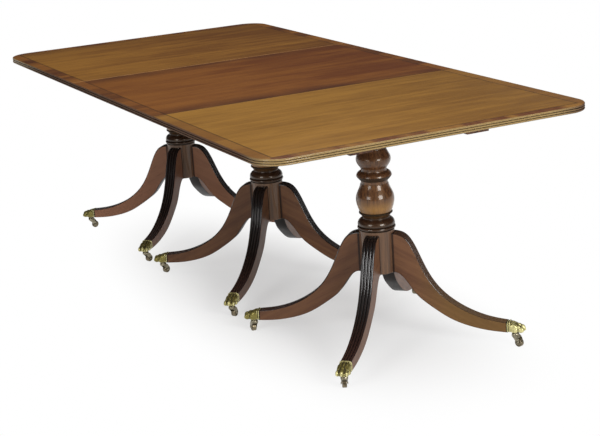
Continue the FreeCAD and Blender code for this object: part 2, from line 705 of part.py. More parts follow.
def cheek(y):
    """One cheek of the caster's horn, from the crown down and back to the axle."""
    top = CROWN_LOW + CROWN_THICKNESS / 2
    upper_front = Vector(CHEEK_SHOULDER, y, top)
    upper_back = Vector(-CHEEK_SHOULDER, y, top)
    lower_back = Vector(-CHEEK_SHOULDER, y, CROWN_LOW)
    boss = Vector(CASTER_TRAIL, y, WHEEL_RADIUS)
    boss_front = boss + X_AXIS * CHEEK_BOSS_RADIUS
    boss_back = boss - X_AXIS * CHEEK_BOSS_RADIUS
    edges = [
        line(upper_back, upper_front),
        bowed(upper_front, boss_front, -CHEEK_FRONT_BULGE),
        arc(boss_front, boss - Z_AXIS * CHEEK_BOSS_RADIUS, boss_back),
        bowed(boss_back, lower_back, CHEEK_BACK_HOLLOW),
        line(lower_back, upper_back),
    ]
    return Part.Face(Part.Wire(edges)).extrude(Vector(0, CHEEK_THICKNESS, 0))


def horn():
    """Swivelling horn: crown, two cheeks, neck, stem and riveted stem head."""
    inner = WHEEL_WIDTH / 2 + CHEEK_GAP
    neck_top = CAP_BOTTOM - STEM_END_GAP
    head_low = CAP_BOTTOM + CAP_BASE + STEM_END_GAP
    crown = cylinder(CROWN_RADIUS, CROWN_LOW, CROWN_TOP)
    neck = cylinder(HORN_NECK_RADIUS, CROWN_TOP, neck_top)
    stem = cylinder(STEM_RADIUS, neck_top, head_low)
    head = cylinder(STEM_HEAD_RADIUS, head_low, STEM_TOP)
    body = crown.multiFuse([neck, stem, head, cheek(inner), cheek(-inner - CHEEK_THICKNESS)]).removeSplitter()
    reach = inner + CHEEK_THICKNESS
    return body.cut(cross_pin(AXLE_RADIUS + AXLE_FIT, -reach, reach, CASTER_TRAIL, WHEEL_RADIUS)).Solids[0]


def axle():
    """Riveted axle through the horn's cheeks."""
    reach = WHEEL_WIDTH / 2 + CHEEK_GAP + CHEEK_THICKNESS
    end = reach + AXLE_HEAD_HEIGHT
    shank = cross_pin(AXLE_RADIUS, -reach, reach, CASTER_TRAIL, WHEEL_RADIUS)
    heads = [
        cross_pin(AXLE_HEAD_RADIUS, reach, end, CASTER_TRAIL, WHEEL_RADIUS),
        cross_pin(AXLE_HEAD_RADIUS, -end, -reach, CASTER_TRAIL, WHEEL_RADIUS),
    ]
    return shank.multiFuse(heads).removeSplitter()


# Assembly


def save_pedestal(section, axis_x, pieces):
    """Column, legs, leg plate, toe caps and casters of one section."""
    save(section + "_column", [placed(pieces["column"], axis_x)])
    save(section + "_leg_plate", [placed(solid, axis_x) for solid in pieces["plate"]])
    caps = []
    for corner, angle in CORNER_ANGLES.items():
        save(section + "_leg_" + corner, [placed(pieces["leg"], axis_x, 0, angle)])
        caps.append(placed(pieces["cap"], axis_x, 0, angle))
        x = axis_x + SWIVEL_REACH * math.cos(math.radians(angle))
        y = SWIVEL_REACH * math.sin(math.radians(angle))
        trail = TRAIL_ANGLES[(section, corner)]
        save(section + "_caster_horn_" + corner, [placed(solid, x, y, trail) for solid in pieces["horn"]])
        save(section + "_caster_wheel_" + corner, [placed(pieces["wheel"], x, y, trail)])
    save(section + "_toe_caps", caps)


def save_upper(section, axis_x, turn, top, span):
    """Block, bearers, fixings, turn button and top of one section; turn faces its outer end."""
    save(section + "_top", [placed(drilled_top(top, span), axis_x, 0, turn)])
    save(section + "_bearers", [placed(solid, axis_x, 0, turn) for solid in bearers(span)])
    fixings = pivot_pins() + bearer_screws(span)
    save(section + "_top_fixings", [placed(solid, axis_x, 0, turn) for solid in fixings])
    save(section + "_block", [placed(block(), axis_x, 0, turn)])
    save(section + "_turn_button", [placed(turn_button(), axis_x, 0, turn)])


def main():
    os.makedirs("parts", exist_ok=True)
    pieces = {
        "column": column(),
        "leg": leg(),
        "plate": [leg_plate()] + plate_screws(),
        "cap": toe_cap(),
        "horn": [horn(), axle()],
        "wheel": wheel(),
    }
    for section, axis_x in (("left", -END_AXIS_X), ("middle", 0.0), ("right", END_AXIS_X)):
        save_pedestal(section, axis_x, pieces)
    end = placed(end_top(), -END_AXIS_X)
    end_span = bearer_span(END_SEAM_X - END_AXIS_X, END_OUTER_X - END_AXIS_X, False)
    middle_span = bearer_span(-MIDDLE_LENGTH / 2, MIDDLE_LENGTH / 2, True)
    save_upper("left", -END_AXIS_X, 180, end, end_span)
    save_upper("middle", 0.0, 0, middle_top(), middle_span)
    save_upper("right", END_AXIS_X, 0, end, end_span)


main()
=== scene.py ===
# %% [markdown]
# # A dining table on three pedestals
# The table is three free-standing sections pushed together. Each has a veneered top with a reeded edge,
# a turned column, four reeded sabre legs, and brass paws with casters. The packed CAD model gives every
# place and size, in metres. This lesson dresses it: turned, reeded and cast surfaces are worked out as
# grids of points, the plain joinery under the tops keeps its CAD meshes, and every piece gets a finish
# made of nodes.

# %% Load the frame
import json
import math

import bmesh
import bpy
import numpy as np
from mathutils import Matrix, Vector

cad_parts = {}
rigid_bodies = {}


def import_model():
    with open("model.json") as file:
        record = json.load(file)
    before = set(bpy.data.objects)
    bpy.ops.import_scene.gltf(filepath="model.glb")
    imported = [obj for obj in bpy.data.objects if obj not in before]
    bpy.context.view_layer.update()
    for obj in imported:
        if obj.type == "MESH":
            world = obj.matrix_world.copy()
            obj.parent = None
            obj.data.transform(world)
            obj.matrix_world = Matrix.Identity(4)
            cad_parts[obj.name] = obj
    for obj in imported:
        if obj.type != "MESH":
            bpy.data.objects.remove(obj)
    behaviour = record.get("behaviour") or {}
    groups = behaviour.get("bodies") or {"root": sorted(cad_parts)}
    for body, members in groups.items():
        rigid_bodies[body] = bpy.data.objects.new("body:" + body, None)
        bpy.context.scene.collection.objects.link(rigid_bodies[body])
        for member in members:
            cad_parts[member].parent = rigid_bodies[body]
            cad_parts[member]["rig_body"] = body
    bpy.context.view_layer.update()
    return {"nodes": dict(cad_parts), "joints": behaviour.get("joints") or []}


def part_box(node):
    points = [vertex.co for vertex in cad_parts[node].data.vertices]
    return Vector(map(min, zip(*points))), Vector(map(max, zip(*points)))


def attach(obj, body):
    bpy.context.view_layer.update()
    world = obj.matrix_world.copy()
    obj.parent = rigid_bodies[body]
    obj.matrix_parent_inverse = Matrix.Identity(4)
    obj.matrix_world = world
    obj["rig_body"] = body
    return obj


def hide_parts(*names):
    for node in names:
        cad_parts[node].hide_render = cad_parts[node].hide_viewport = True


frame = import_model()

MM = 0.001
SECTIONS = ("left", "middle", "right")
CORNER_TURNS = {"front_right": -45, "back_right": 45, "back_left": 135, "front_left": 225}

# %% [markdown]
# ## Camera
# A photograph is matched by solving where its camera stood: the corners of the top and the feet, whose
# places are known, give the place, the three turns and the focal length. The turns are applied one after
# another as matrices, because an Euler triple in one order can't hold heading, pitch and roll of a camera
# as plainly.

# %% Place the camera
IMAGE_WIDTH = 600
CAMERA_PLACE = (4.7045, -2.2140, 1.6774)
CAMERA_HEADING = 1.1101
CAMERA_PITCH = 0.2744
CAMERA_ROLL = -0.0630
FOCAL_PIXELS = 1529.9

camera_data = bpy.data.cameras.new("camera")
camera_data.sensor_fit = "HORIZONTAL"
camera_data.lens = camera_data.sensor_width * FOCAL_PIXELS / IMAGE_WIDTH
camera = bpy.data.objects.new("camera", camera_data)
bpy.context.scene.collection.objects.link(camera)
camera.matrix_world = (Matrix.Translation(CAMERA_PLACE)
                       @ Matrix.Rotation(CAMERA_HEADING, 4, "Z")
                       @ Matrix.Rotation(math.pi / 2 - CAMERA_PITCH, 4, "X")
                       @ Matrix.Rotation(CAMERA_ROLL, 4, "Z"))
bpy.context.scene.camera = camera
bpy.context.scene.view_settings.view_transform = "Standard"
print("lens", round(camera_data.lens, 2), "mm")

# %% [markdown]
# ## Shader maths
# A finish is a sum of patterns, so it reads best as a sum. `Value` wraps an output socket, and each
# operator on it adds the Math node that does the sum, so `1 - mask` works. `Finish` holds one material's
# tree. All its other nodes come from `node`, which sets what kind of work the node does before it fills
# the sockets.


# %% Sockets as numbers
class Value:
    """An output socket that can stand in a Python expression; an operator adds a Math node."""

    def __init__(self, tree, socket):
        self.tree = tree
        self.socket = socket

    def math(self, operation, first, second):
        return self.tree.node("ShaderNodeMath", {"operation": operation}, {0: first, 1: second})

    def __add__(self, other):
        return self.math("ADD", self, other)

    def __radd__(self, other):
        return self.math("ADD", other, self)

    def __sub__(self, other):
        return self.math("SUBTRACT", self, other)

    def __rsub__(self, other):
        return self.math("SUBTRACT", other, self)

    def __mul__(self, other):
        return self.math("MULTIPLY", self, other)

    def __rmul__(self, other):
        return self.math("MULTIPLY", other, self)

    def __abs__(self):
        return self.math("ABSOLUTE", self, 0.0)

    def least(self, other):
        return self.math("MINIMUM", self, other)

    def most(self, other):
        return self.math("MAXIMUM", self, other)


print("reflected operators", sorted(name for name in vars(Value) if name.startswith("__r")))


# %% Trees of nodes
class Tree:
    """A node tree, and the few ways in which nodes are added to it."""

    def __init__(self, tree):
        self.tree = tree

    def fill(self, node, sockets):
        """Give sockets their values, or link them to a Value."""
        for key, value in sockets.items():
            if isinstance(value, Value):
                self.tree.links.new(value.socket, node.inputs[key])
            else:
                node.inputs[key].default_value = value

    def node(self, kind, settings=None, sockets=None, output=0):
        """Add a node: first its settings, then its sockets."""
        made = self.tree.nodes.new(kind)
        for key, value in (settings or {}).items():
            setattr(made, key, value)
        self.fill(made, sockets or {})
        return Value(self, made.outputs[output]) if made.outputs else None

    def axes(self, vector):
        """The three parts of a vector."""
        split = self.node("ShaderNodeSeparateXYZ", sockets={0: vector}).socket.node
        return [Value(self, socket) for socket in split.outputs]

    def vectors(self, operation, *parts, output=0):
        """Vector Math on one or two vectors."""
        return self.node("ShaderNodeVectorMath", {"operation": operation}, dict(enumerate(parts)), output)

    def noise(self, vector, scale, detail=3.0, roughness=0.5):
        """Soft random tones between about 0.2 and 0.8; a vector as scale stretches them."""
        if not isinstance(scale, (int, float)):
            vector = self.vectors("MULTIPLY", vector, scale)
            scale = 1.0
        return self.node("ShaderNodeTexNoise", sockets={
            "Vector": vector, "Scale": scale, "Detail": detail, "Roughness": roughness})

    def ease(self, value, low, high):
        """0 below low, 1 above high, and a smooth step between; it also falls where low is above high."""
        return self.node("ShaderNodeMapRange", {"interpolation_type": "SMOOTHSTEP"}, {
            "Value": value, "From Min": low, "From Max": high})

    def blend(self, factor, first, second):
        """A colour between two colours."""
        return self.node("ShaderNodeMix", {"data_type": "RGBA"}, {0: factor, 6: first, 7: second}, output=2)

    def layered(self, colour, *coats):
        """A colour under several coats, each a factor and a colour, laid on in turn."""
        for factor, coat in coats:
            colour = self.blend(factor, colour, coat)
        return colour

    def bump(self, height, distance):
        """A normal that tilts as if the surface rose by height times distance."""
        return self.node("ShaderNodeBump", sockets={"Height": height, "Distance": distance})


print("ways to add nodes", [name for name in vars(Tree) if not name.startswith("_")])


# %% Materials and tones
class Finish(Tree):
    """A material's tree with one shader in it."""

    def __init__(self, name, shader="ShaderNodeBsdfPrincipled"):
        self.material = bpy.data.materials.new(name)
        self.material.use_nodes = True
        super().__init__(self.material.node_tree)
        self.tree.nodes.clear()
        shaded = self.node(shader)
        self.surface = shaded.socket.node
        self.node("ShaderNodeOutputMaterial", sockets={"Surface": shaded})

    def shade(self, **sockets):
        """Fill the shader's own sockets; an underscore in a name stands for a space."""
        self.fill(self.surface, {key.replace("_", " "): value for key, value in sockets.items()})

    def place(self):
        """Where a point is on the table."""
        return self.node("ShaderNodeTexCoord", output="Object")

    def attribute(self, name, output="Fac"):
        """What the mesh says about its own surface."""
        return self.node("ShaderNodeAttribute", {"attribute_name": name}, output=output)


def tone(red, green, blue):
    """A colour from bytes as a screen shows them to the linear numbers that a shader wants."""
    share = np.array([red, green, blue]) / 255
    linear = np.where(share > 0.04045, ((share + 0.055) / 1.055) ** 2.4, share / 12.92)
    return (*linear.tolist(), 1.0)


print("golden brown as a shader sees it", [round(part, 3) for part in tone(144, 104, 52)])

# %% [markdown]
# ## Floor, studio and lamps
# The photograph has a white sweep with soft grey shadows. The floor is a plain pale sheet that is lit
# like everything else near the table, and away from it a Mix Shader turns it into pure white, for the
# eye and for reflections alike. The room round it is dim at eye height and bright overhead, with one pale
# panel behind the table, so that polish shows dark wood with a few crisp lights in it, and not a milky
# film.

# %% Lay the floor
FLOOR_SIZE = 400.0
SHADOW_CENTRE = (0.25, -0.03, 0.0)
SHADOW_REACH = (1.5, 0.54, 1.0)
SHADOW_EDGE = (0.2, 1.0)
NEAR_WHITE = 0.5
WHITE = (1.0, 1.0, 1.0, 1.0)
PALE_SHEET = tone(238, 238, 238)
SEEN_BY = ("Is Camera Ray", "Is Glossy Ray", "Is Transmission Ray")


def floor_finish():
    """Pale sheet whose far parts are plain white to camera, glossy and transmission rays."""
    finish = Finish("white_sweep", "ShaderNodeMixShader")
    offset = finish.vectors("SUBTRACT", finish.place(), SHADOW_CENTRE)
    away = finish.vectors("LENGTH", finish.vectors("DIVIDE", offset, SHADOW_REACH), output="Value")
    rays = finish.node("ShaderNodeLightPath").socket.node
    to_camera, to_gloss, to_glass = [Value(finish, rays.outputs[kind]) for kind in SEEN_BY]
    seen = to_camera.most(to_gloss).most(to_glass)
    sheet = finish.node("ShaderNodeBsdfDiffuse", sockets={"Color": PALE_SHEET})
    white = finish.node("ShaderNodeEmission", sockets={"Color": WHITE, "Strength": 1.0})
    clear = NEAR_WHITE + finish.ease(away, *SHADOW_EDGE) * (1 - NEAR_WHITE)
    finish.fill(finish.surface, {0: clear * seen, 1: sheet, 2: white})
    return finish.material


def lay_floor():
    """One large square at the height of the wheels' treads."""
    half = FLOOR_SIZE / 2
    corners = [(-half, -half, 0), (half, -half, 0), (half, half, 0), (-half, half, 0)]
    mesh = bpy.data.meshes.new("floor")
    mesh.from_pydata(corners, [], [(0, 1, 2, 3)])
    mesh.materials.append(floor_finish())
    floor = bpy.data.objects.new("floor", mesh)
    bpy.context.scene.collection.objects.link(floor)


lay_floor()
print("floor", FLOOR_SIZE, "m wide")

# %% Light the room
ROOM_DIM = (0.05, 0.05, 0.05, 1.0)
ROOM_BRIGHT = (0.75, 0.75, 0.75, 1.0)
ROOM_PANEL = (0.4, 0.4, 0.4, 1.0)
PANEL_TOWARDS = (-0.64, 0.77, 0.0)
PANEL_EDGE = (0.955, 0.985)
CEILING_EDGE = (0.45, 0.9)
NEAR_COLUMN = (0.767, 0.0, 0.48)
MIDDLE_TOP = (0.0, 0.0, 0.7)


def light_room():
    """World light by height: dim walls, a bright ceiling, and one pale panel behind the table."""
    world = bpy.data.worlds.new("studio")
    bpy.context.scene.world = world
    world.use_nodes = True
    sky = Tree(world.node_tree)
    ray = sky.node("ShaderNodeTexCoord", output="Generated")
    _, _, height = sky.axes(ray)
    facing = sky.vectors("DOT_PRODUCT", ray, PANEL_TOWARDS, output="Value")
    colour = sky.blend(sky.ease(height, *CEILING_EDGE), ROOM_DIM, ROOM_BRIGHT)
    colour = sky.blend(sky.ease(facing, *PANEL_EDGE), colour, ROOM_PANEL)
    sky.fill(world.node_tree.nodes["Background"], {"Color": colour, "Strength": 1.0})


def softbox(name, aim, azimuth, elevation, distance, size, power):
    """A square lamp that looks at a point of the table from a heading and a height, in degrees."""
    data = bpy.data.lights.new(name, "AREA")
    data.size = size
    data.energy = power
    lamp = bpy.data.objects.new(name, data)
    bpy.context.scene.collection.objects.link(lamp)
    turn, rise = math.radians(azimuth), math.radians(elevation)
    towards = Vector((math.cos(turn) * math.cos(rise), math.sin(turn) * math.cos(rise), math.sin(rise)))
    lamp.location = Vector(aim) + towards * distance
    lamp.rotation_euler = towards.to_track_quat("Z", "Y").to_euler()
    return lamp


light_room()
lamps = [
    softbox("right_softbox", NEAR_COLUMN, 6.6, 18, 4.2, 1.6, 130),
    softbox("left_softbox", NEAR_COLUMN, -70, 18, 4.2, 1.5, 60),
    softbox("overhead_softbox", MIDDLE_TOP, 60, 82, 3.2, 2.6, 80),
]
print("lamps", [lamp.name for lamp in lamps])

# %% [markdown]
# ## Surfaces from grids
# Every new piece is a grid of points: one parameter runs along the piece and one across it. numpy works
# the whole grid out at once, `grid_faces` numbers the quads between its neighbours, `tube` closes a grid
# that wraps round, and `make_piece` puts points and faces into a mesh, turns the faces outwards, and
# hands the piece to the body whose CAD node it replaces. Flat end faces have many corners, and they stay
# flat-shaded so that they keep a straight light.


# %% Number grids
def grid_faces(rows, columns, wrap=False):
    """Quads between neighbouring rows and columns of a grid; wrap joins the last column to the first."""
    row = np.arange(rows - 1)[:, None] * columns
    column = np.arange(columns if wrap else columns - 1)[None, :]
    beside = (column + 1) % columns
    corners = (row + column, row + beside, row + columns + beside, row + columns + column)
    return np.stack(np.broadcast_arrays(*corners), axis=-1).reshape(-1, 4).tolist()


def tube(x, y, z):
    """A closed shell from grids of places: rows run along it, columns wrap round it, flat faces end it."""
    grid = np.stack(np.broadcast_arrays(x, y, z), axis=-1)
    rows, columns, _ = grid.shape
    points = grid.reshape(-1, 3)
    ends = [list(range(columns)), list(range(len(points) - columns, len(points)))]
    return points, grid_faces(rows, columns, wrap=True) + ends


def joined(shells):
    """Several shells as one: their points in a row, their face numbers moved on."""
    starts = np.cumsum([0] + [len(points) for points, _ in shells])
    faces = []
    for (_, part), start in zip(shells, starts):
        faces += [[corner + start for corner in face] for face in part]
    return np.concatenate([points for points, _ in shells]), faces


print("a 3 by 4 grid has", len(grid_faces(3, 4)), "quads, or", len(grid_faces(3, 4, wrap=True)),
      "when it wraps")


# %% Place points and make pieces
def placed(points, turn=0.0, x=0.0, y=0.0):
    """Points turned about the Z axis by degrees and then moved in plan."""
    c, s = math.cos(math.radians(turn)), math.sin(math.radians(turn))
    return points @ np.array([[c, s, 0], [-s, c, 0], [0, 0, 1]]) + (x, y, 0)


def add_notes(mesh, notes):
    """Store what the finish has to know about each point, a number or a vector."""
    for name, values in notes.items():
        flat = np.asarray(values, np.float32)
        if flat.ndim == 1:
            mesh.attributes.new(name, "FLOAT", "POINT").data.foreach_set("value", flat)
        else:
            mesh.attributes.new(name, "FLOAT_VECTOR", "POINT").data.foreach_set("vector", flat.ravel())


def make_piece(node, craft, shell, finish, notes=None, crease=40):
    """A piece that stands for a CAD node and rides on the same body; crease is the sharpest smooth edge."""
    points, faces = shell
    mesh = bpy.data.meshes.new(node + "_" + craft)
    mesh.from_pydata(points.tolist(), [], faces)
    shaped = bmesh.new()
    shaped.from_mesh(mesh)
    bmesh.ops.recalc_face_normals(shaped, faces=shaped.faces)
    shaped.to_mesh(mesh)
    shaped.free()
    mesh.polygons.foreach_set("use_smooth", [len(face) <= 4 for face in faces])
    mesh.set_sharp_from_angle(angle=math.radians(crease))
    add_notes(mesh, notes or {})
    mesh.materials.append(finish.material)
    piece = bpy.data.objects.new(node + "_" + craft, mesh)
    bpy.context.scene.collection.objects.link(piece)
    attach(piece, frame["nodes"][node]["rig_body"])
    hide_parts(node)
    return piece


print("one step along X, turned by 90 degrees, is", placed(np.array([[1.0, 0.0, 0.0]]), 90).round(3))

# %% [markdown]
# ## Arcs and turnings
# Reeds, beads, coves and swellings are all arcs, and a maker knows an arc by its two ends and how far it
# leaves the straight line between them. `bow` gives such an arc. A turned piece is then a list of steps,
# each with the radius that it reaches, how far it rises and how far it bows, just as it is marked on the
# turner's rod, and `lathe` carries that profile round the axis.


# %% Bow arcs and string them together
def bow(start, end, bulge, count=11):
    """Points on a circle's arc from start to end that leaves its chord by bulge, to the right of the way.

    The radius is (half chord squared + bulge squared) / twice the bulge, and the arc opens to each side
    by twice the angle whose tangent is bulge over half chord.
    """
    start, end = np.array(start, float), np.array(end, float)
    if not bulge:
        return np.array([start, end])
    half = np.linalg.norm(end - start) / 2
    along = (end - start) / (2 * half)
    aside = np.array([along[1], -along[0]])
    radius = (half ** 2 + bulge ** 2) / (2 * abs(bulge))
    opening = 2 * math.atan(abs(bulge) / half)
    turn = np.linspace(-opening, opening, count)[:, None]
    lift = np.sign(bulge) * radius * (np.cos(turn) - math.cos(opening))
    return (start + end) / 2 + along * radius * np.sin(turn) + aside * lift


def turned(start, steps):
    """A profile from a list of (radius, rise, bulge) steps, each from where the last one ended."""
    ends = np.array([start] + [(radius, 0.0) for radius, _, _ in steps])
    ends[1:, 1] = start[1] + np.cumsum([rise for _, rise, _ in steps])
    runs = [bow(a, b, bulge)[1:] for a, b, (_, _, bulge) in zip(ends, ends[1:], steps)]
    return np.concatenate([ends[:1]] + runs)


print("an arc 10 wide with a bulge of 3 has its middle at", bow((0, 0), (10, 0), -3)[5].round(3))


# %% Swell smoothly
def smooth_through(knots, values, at):
    """A natural cubic spline: the bends at the knots solve one set of equations, and are 0 at both ends."""
    gap = np.diff(knots)[:, None]
    slope = np.diff(values, axis=0) / gap
    inner = np.arange(1, len(knots) - 1)
    system = np.eye(len(knots))
    system[inner, inner - 1] = gap[:-1, 0]
    system[inner, inner] = 2 * (gap[:-1, 0] + gap[1:, 0])
    system[inner, inner + 1] = gap[1:, 0]
    load = np.zeros_like(values)
    load[1:-1] = 6 * np.diff(slope, axis=0)
    bend = np.linalg.solve(system, load)
    span = np.clip(np.searchsorted(knots, at, side="right") - 1, 0, len(knots) - 2)
    step = (at - knots[span])[:, None]
    first = slope[span] - gap[span] * (2 * bend[span] + bend[span + 1]) / 6
    third = (bend[span + 1] - bend[span]) / (6 * gap[span])
    return values[span] + step * first + step ** 2 * bend[span] / 2 + step ** 3 * third


def swelled(start, marks, count=41):
    """A profile's smooth swelling from a start through marks of (radius, rise) above it."""
    marks = np.array(marks, float)
    rise = np.linspace(0, marks[-1, 1], count)
    radius = smooth_through(marks[:, 1], marks[:, :1], rise)[:, 0]
    return np.stack([radius, start[1] + rise], axis=-1)


print("a swelling has", len(swelled((1, 0), [(1, 0), (2, 1), (1, 2)])), "points")


# %% Turn a profile and find its hollows
def lathe(profile, steps):
    """A profile of (radius, height) points carried round the Z axis, with flat closed ends."""
    turn = np.linspace(0, 2 * math.pi, steps, endpoint=False)
    radius, height = profile[:, :1], profile[:, 1:]
    return tube(radius * np.cos(turn), radius * np.sin(turn), height)


def hollows(profile, reach, samples=17):
    """How deep each point of a profile lies below its neighbourhood, as a share of reach.

    The neighbourhood is the radius averaged along the profile over about four times reach.
    """
    way = np.concatenate([[0], np.cumsum(np.linalg.norm(np.diff(profile, axis=0), axis=1))])
    even = np.arange(0, way[-1], reach / 4)
    radius = np.interp(even, way, profile[:, 0])
    window = np.hanning(samples)
    padded = np.pad(radius, len(window) // 2, mode="edge")
    around = np.convolve(padded, window / window.sum(), mode="valid")
    return np.clip((np.interp(way, even, around) - profile[:, 0]) / reach, 0, 1)


print("a turned peg has", len(lathe(np.array([(1.0, 0.0), (1.0, 2.0)]), 32)[1]), "faces")

# %% [markdown]
# ## Polished wood
# All the woods share one pattern, at different scales: broad bands of colour, streaks along the grain,
# and fine dark pores that are longer than they are wide. Stretching a noise along the grain gives each of
# them. The finish returns its streaks too, so that the same lines also roughen the polish a little.


# %% Grain as a sum of stretched noises
def grain(finish, place, along, across):
    """Streaks and pores on a place whose X runs across the grain and Y along it, both from 0 to 1."""
    streaks = finish.noise(place, (across, along, across), detail=6.0, roughness=0.62)
    fine = finish.noise(place, (across * 9, along * 5, across * 9), detail=2.0)
    pores = finish.ease(fine, 0.60, 0.72)
    return finish.ease(streaks, 0.32, 0.70), pores


def seen_across(finish, place):
    """The same place with X and Y changed over, for grain that runs along X."""
    x, y, z = finish.axes(place)
    return finish.node("ShaderNodeCombineXYZ", sockets={0: y, 1: x, 2: z})


def plain_finish(name, dark, light, along_table):
    """Plain stained wood without polish, a little dry, with its grain along the table or across it."""
    finish = Finish(name)
    place = finish.place()
    if along_table:
        place = seen_across(finish, place)
    streaks, pores = grain(finish, place, 2.0, 60.0)
    broad = finish.noise(place, (12.0, 2.0, 12.0), detail=3.0)
    colour = finish.blend(finish.ease(streaks * 0.5 + broad * 0.5, 0.3, 0.7), dark, light)
    colour = finish.blend(pores * 0.4, colour, tone(36, 22, 16))
    finish.shade(Base_Color=colour, Roughness=0.5 + broad * 0.2, Specular_IOR_Level=0.3,
                 Normal=finish.bump(streaks * 0.4 - pores, 0.0002))
    return finish


underside_wood = plain_finish("underside_wood", tone(84, 56, 38), tone(122, 88, 60), along_table=False)
print("grain is two noises, stretched, as on the", underside_wood.material.name)

# %% [markdown]
# ## The tops
# Each top is a board 20 mm thick with three reeds worked round its outer edges, and a small bevel on the
# upper edge of each seam. Sculpting the edge would be slow and uneven. Here the reeds are one profile,
# carried along the outline of the top: straight runs, and quarter circles at the outer corners. An end
# top has one such run, from seam to seam, and the middle top has two.

# %% Sizes of the tops
TOP_LOW, TOP_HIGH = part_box("middle_top")
END_LOW, END_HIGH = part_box("right_top")
TOP_HALF_WIDTH = TOP_HIGH.y
TOP_FACE = TOP_HIGH.z
TOP_THICKNESS = TOP_HIGH.z - TOP_LOW.z
TOP_CORNER = 85 * MM
CORNER_STEPS = 25
SEAM_BEVEL = 0.8 * MM
EDGE_REEDS = 3
EDGE_REED_DEPTH = 2.4 * MM


def reed_profile():
    """Inset from the outer line and drop from the face: three equal arcs, one under another."""
    drops = np.linspace(0, -TOP_THICKNESS, EDGE_REEDS + 1)
    ends = np.stack([np.full(len(drops), EDGE_REED_DEPTH), drops], axis=-1)
    reeds = [bow(a, b, EDGE_REED_DEPTH)[:-1] for a, b in zip(ends, ends[1:])]
    return np.concatenate(reeds + [ends[-1:]])


def edge_run(path, inward):
    """Grid of an edge: each point of the path moved inwards by the profile's inset, at its height.

    The first and last rows lie in a seam, where the bevel takes the upper corner off.
    """
    inset, drop = reed_profile().T
    plan = path[:, None] + inward[:, None] * inset[:, None]
    height = np.tile(TOP_FACE + drop, (len(path), 1))
    height[[0, -1]] = np.minimum(height[[0, -1]], TOP_FACE - SEAM_BEVEL)
    return np.concatenate([plan, height[:, :, None]], axis=-1)


print("top", round(TOP_THICKNESS / MM, 2), "mm thick, reed profile of", len(reed_profile()), "points")


# %% Close a top from its edge runs
def top_shell(runs):
    """A board from its edge runs, in order round it: runs, upper and lower face, seams and their bevels."""
    columns = runs[0].shape[1]
    points = np.concatenate([run.reshape(-1, 3) for run in runs])
    counts = [len(run) * columns for run in runs]
    starts = np.cumsum([0] + counts)
    numbers = [start + np.arange(count).reshape(-1, columns) for start, count in zip(starts, counts)]
    faces = []
    for run, number in zip(runs, numbers):
        faces += number.ravel()[np.array(grid_faces(len(run), columns))].tolist()
    faces.append(np.concatenate([number[1:-1, 0] for number in numbers]).tolist())
    faces.append(np.concatenate([number[:, -1] for number in numbers]).tolist())
    for here, there in zip(numbers, numbers[1:] + numbers[:1]):
        faces.append(here[-1].tolist() + there[0, ::-1].tolist())
        faces.append([here[-2, 0], here[-1, 0], there[0, 0], there[1, 0]])
    return points, faces


def end_runs(side):
    """The one run of an end top: along, round a corner, across the end, round a corner and back."""
    seam, outer = END_LOW.x, END_HIGH.x
    quarter = np.radians(np.linspace(0, 90, CORNER_STEPS))
    turn = np.concatenate([quarter - math.pi / 2, quarter])
    facing = np.stack([np.cos(turn), np.sin(turn)], axis=-1)
    corner = np.array([outer - TOP_CORNER, TOP_CORNER - TOP_HALF_WIDTH])
    centre = np.repeat([corner, corner * (1, -1)], CORNER_STEPS, axis=0)
    start = np.array([[seam, -TOP_HALF_WIDTH], [seam + SEAM_BEVEL, -TOP_HALF_WIDTH]])
    path = np.concatenate([start, centre + facing * TOP_CORNER, start[::-1] * (1, -1)])
    inward = np.concatenate([[[0, 1]] * 2, -facing, [[0, -1]] * 2])
    return [edge_run(path, inward) * (side, 1, 1)]


def middle_runs():
    """The two runs of the middle top, one along each long side."""
    half = TOP_HIGH.x
    along = np.array([-half, -half + SEAM_BEVEL, half - SEAM_BEVEL, half])
    near = np.stack([along, np.full(len(along), -TOP_HALF_WIDTH)], axis=-1)
    inward = np.tile([0.0, 1.0], (len(along), 1))
    return [edge_run(near, inward), edge_run(-near, -inward)]


print("an end top's edge has", end_runs(1)[0].shape[:2], "points")

# %% [markdown]
# ### Veneer
# The field of each top is one figured veneer with its grain across the table, and painted light makes
# it lighter towards its -Y side. A crossband about 41 mm wide runs round the outer edges only, with its
# grain at right angles to the edge and a thin dark line inside it. The band's distance from the outline
# is worked out from the place itself, so the two bands meet at a mitre, and the inner corners come out
# square as they are on the table. A thin line along the near seam is dark, and along the seam between
# the middle and far tops it is pale, a painted highlight. The polish is old and soft: lamps leave a broad
# sheen on it and no white spots. The reeded edge is painted lighter and gold round the ends, as if lit,
# and painted darker along the sides, as if in shade. The underside and the seams were never polished,
# and get the plain wood.

# %% Layout of the veneer
BAND_WIDTH = 41 * MM
END_BAND_LOSS = 6 * MM
LINE_WIDTH = 3.4 * MM
LINE_SOFT = 0.3 * MM
SEAM_LINE = 2.0 * MM
STAIN_REACH = 110 * MM
NO_END = 9.0
BAND_DARK = tone(84, 44, 22)
# Painted light on the reeded edge: lighter and gold where it is lit, darker where it is in shade.
EDGE_LIT = tone(136, 112, 69)
EDGE_SHADED = tone(88, 64, 48)


def within(finish, value, reach):
    """1 where a value is below reach, and 0 above it, with a soft edge."""
    return finish.ease(value, reach + LINE_SOFT, reach - LINE_SOFT)


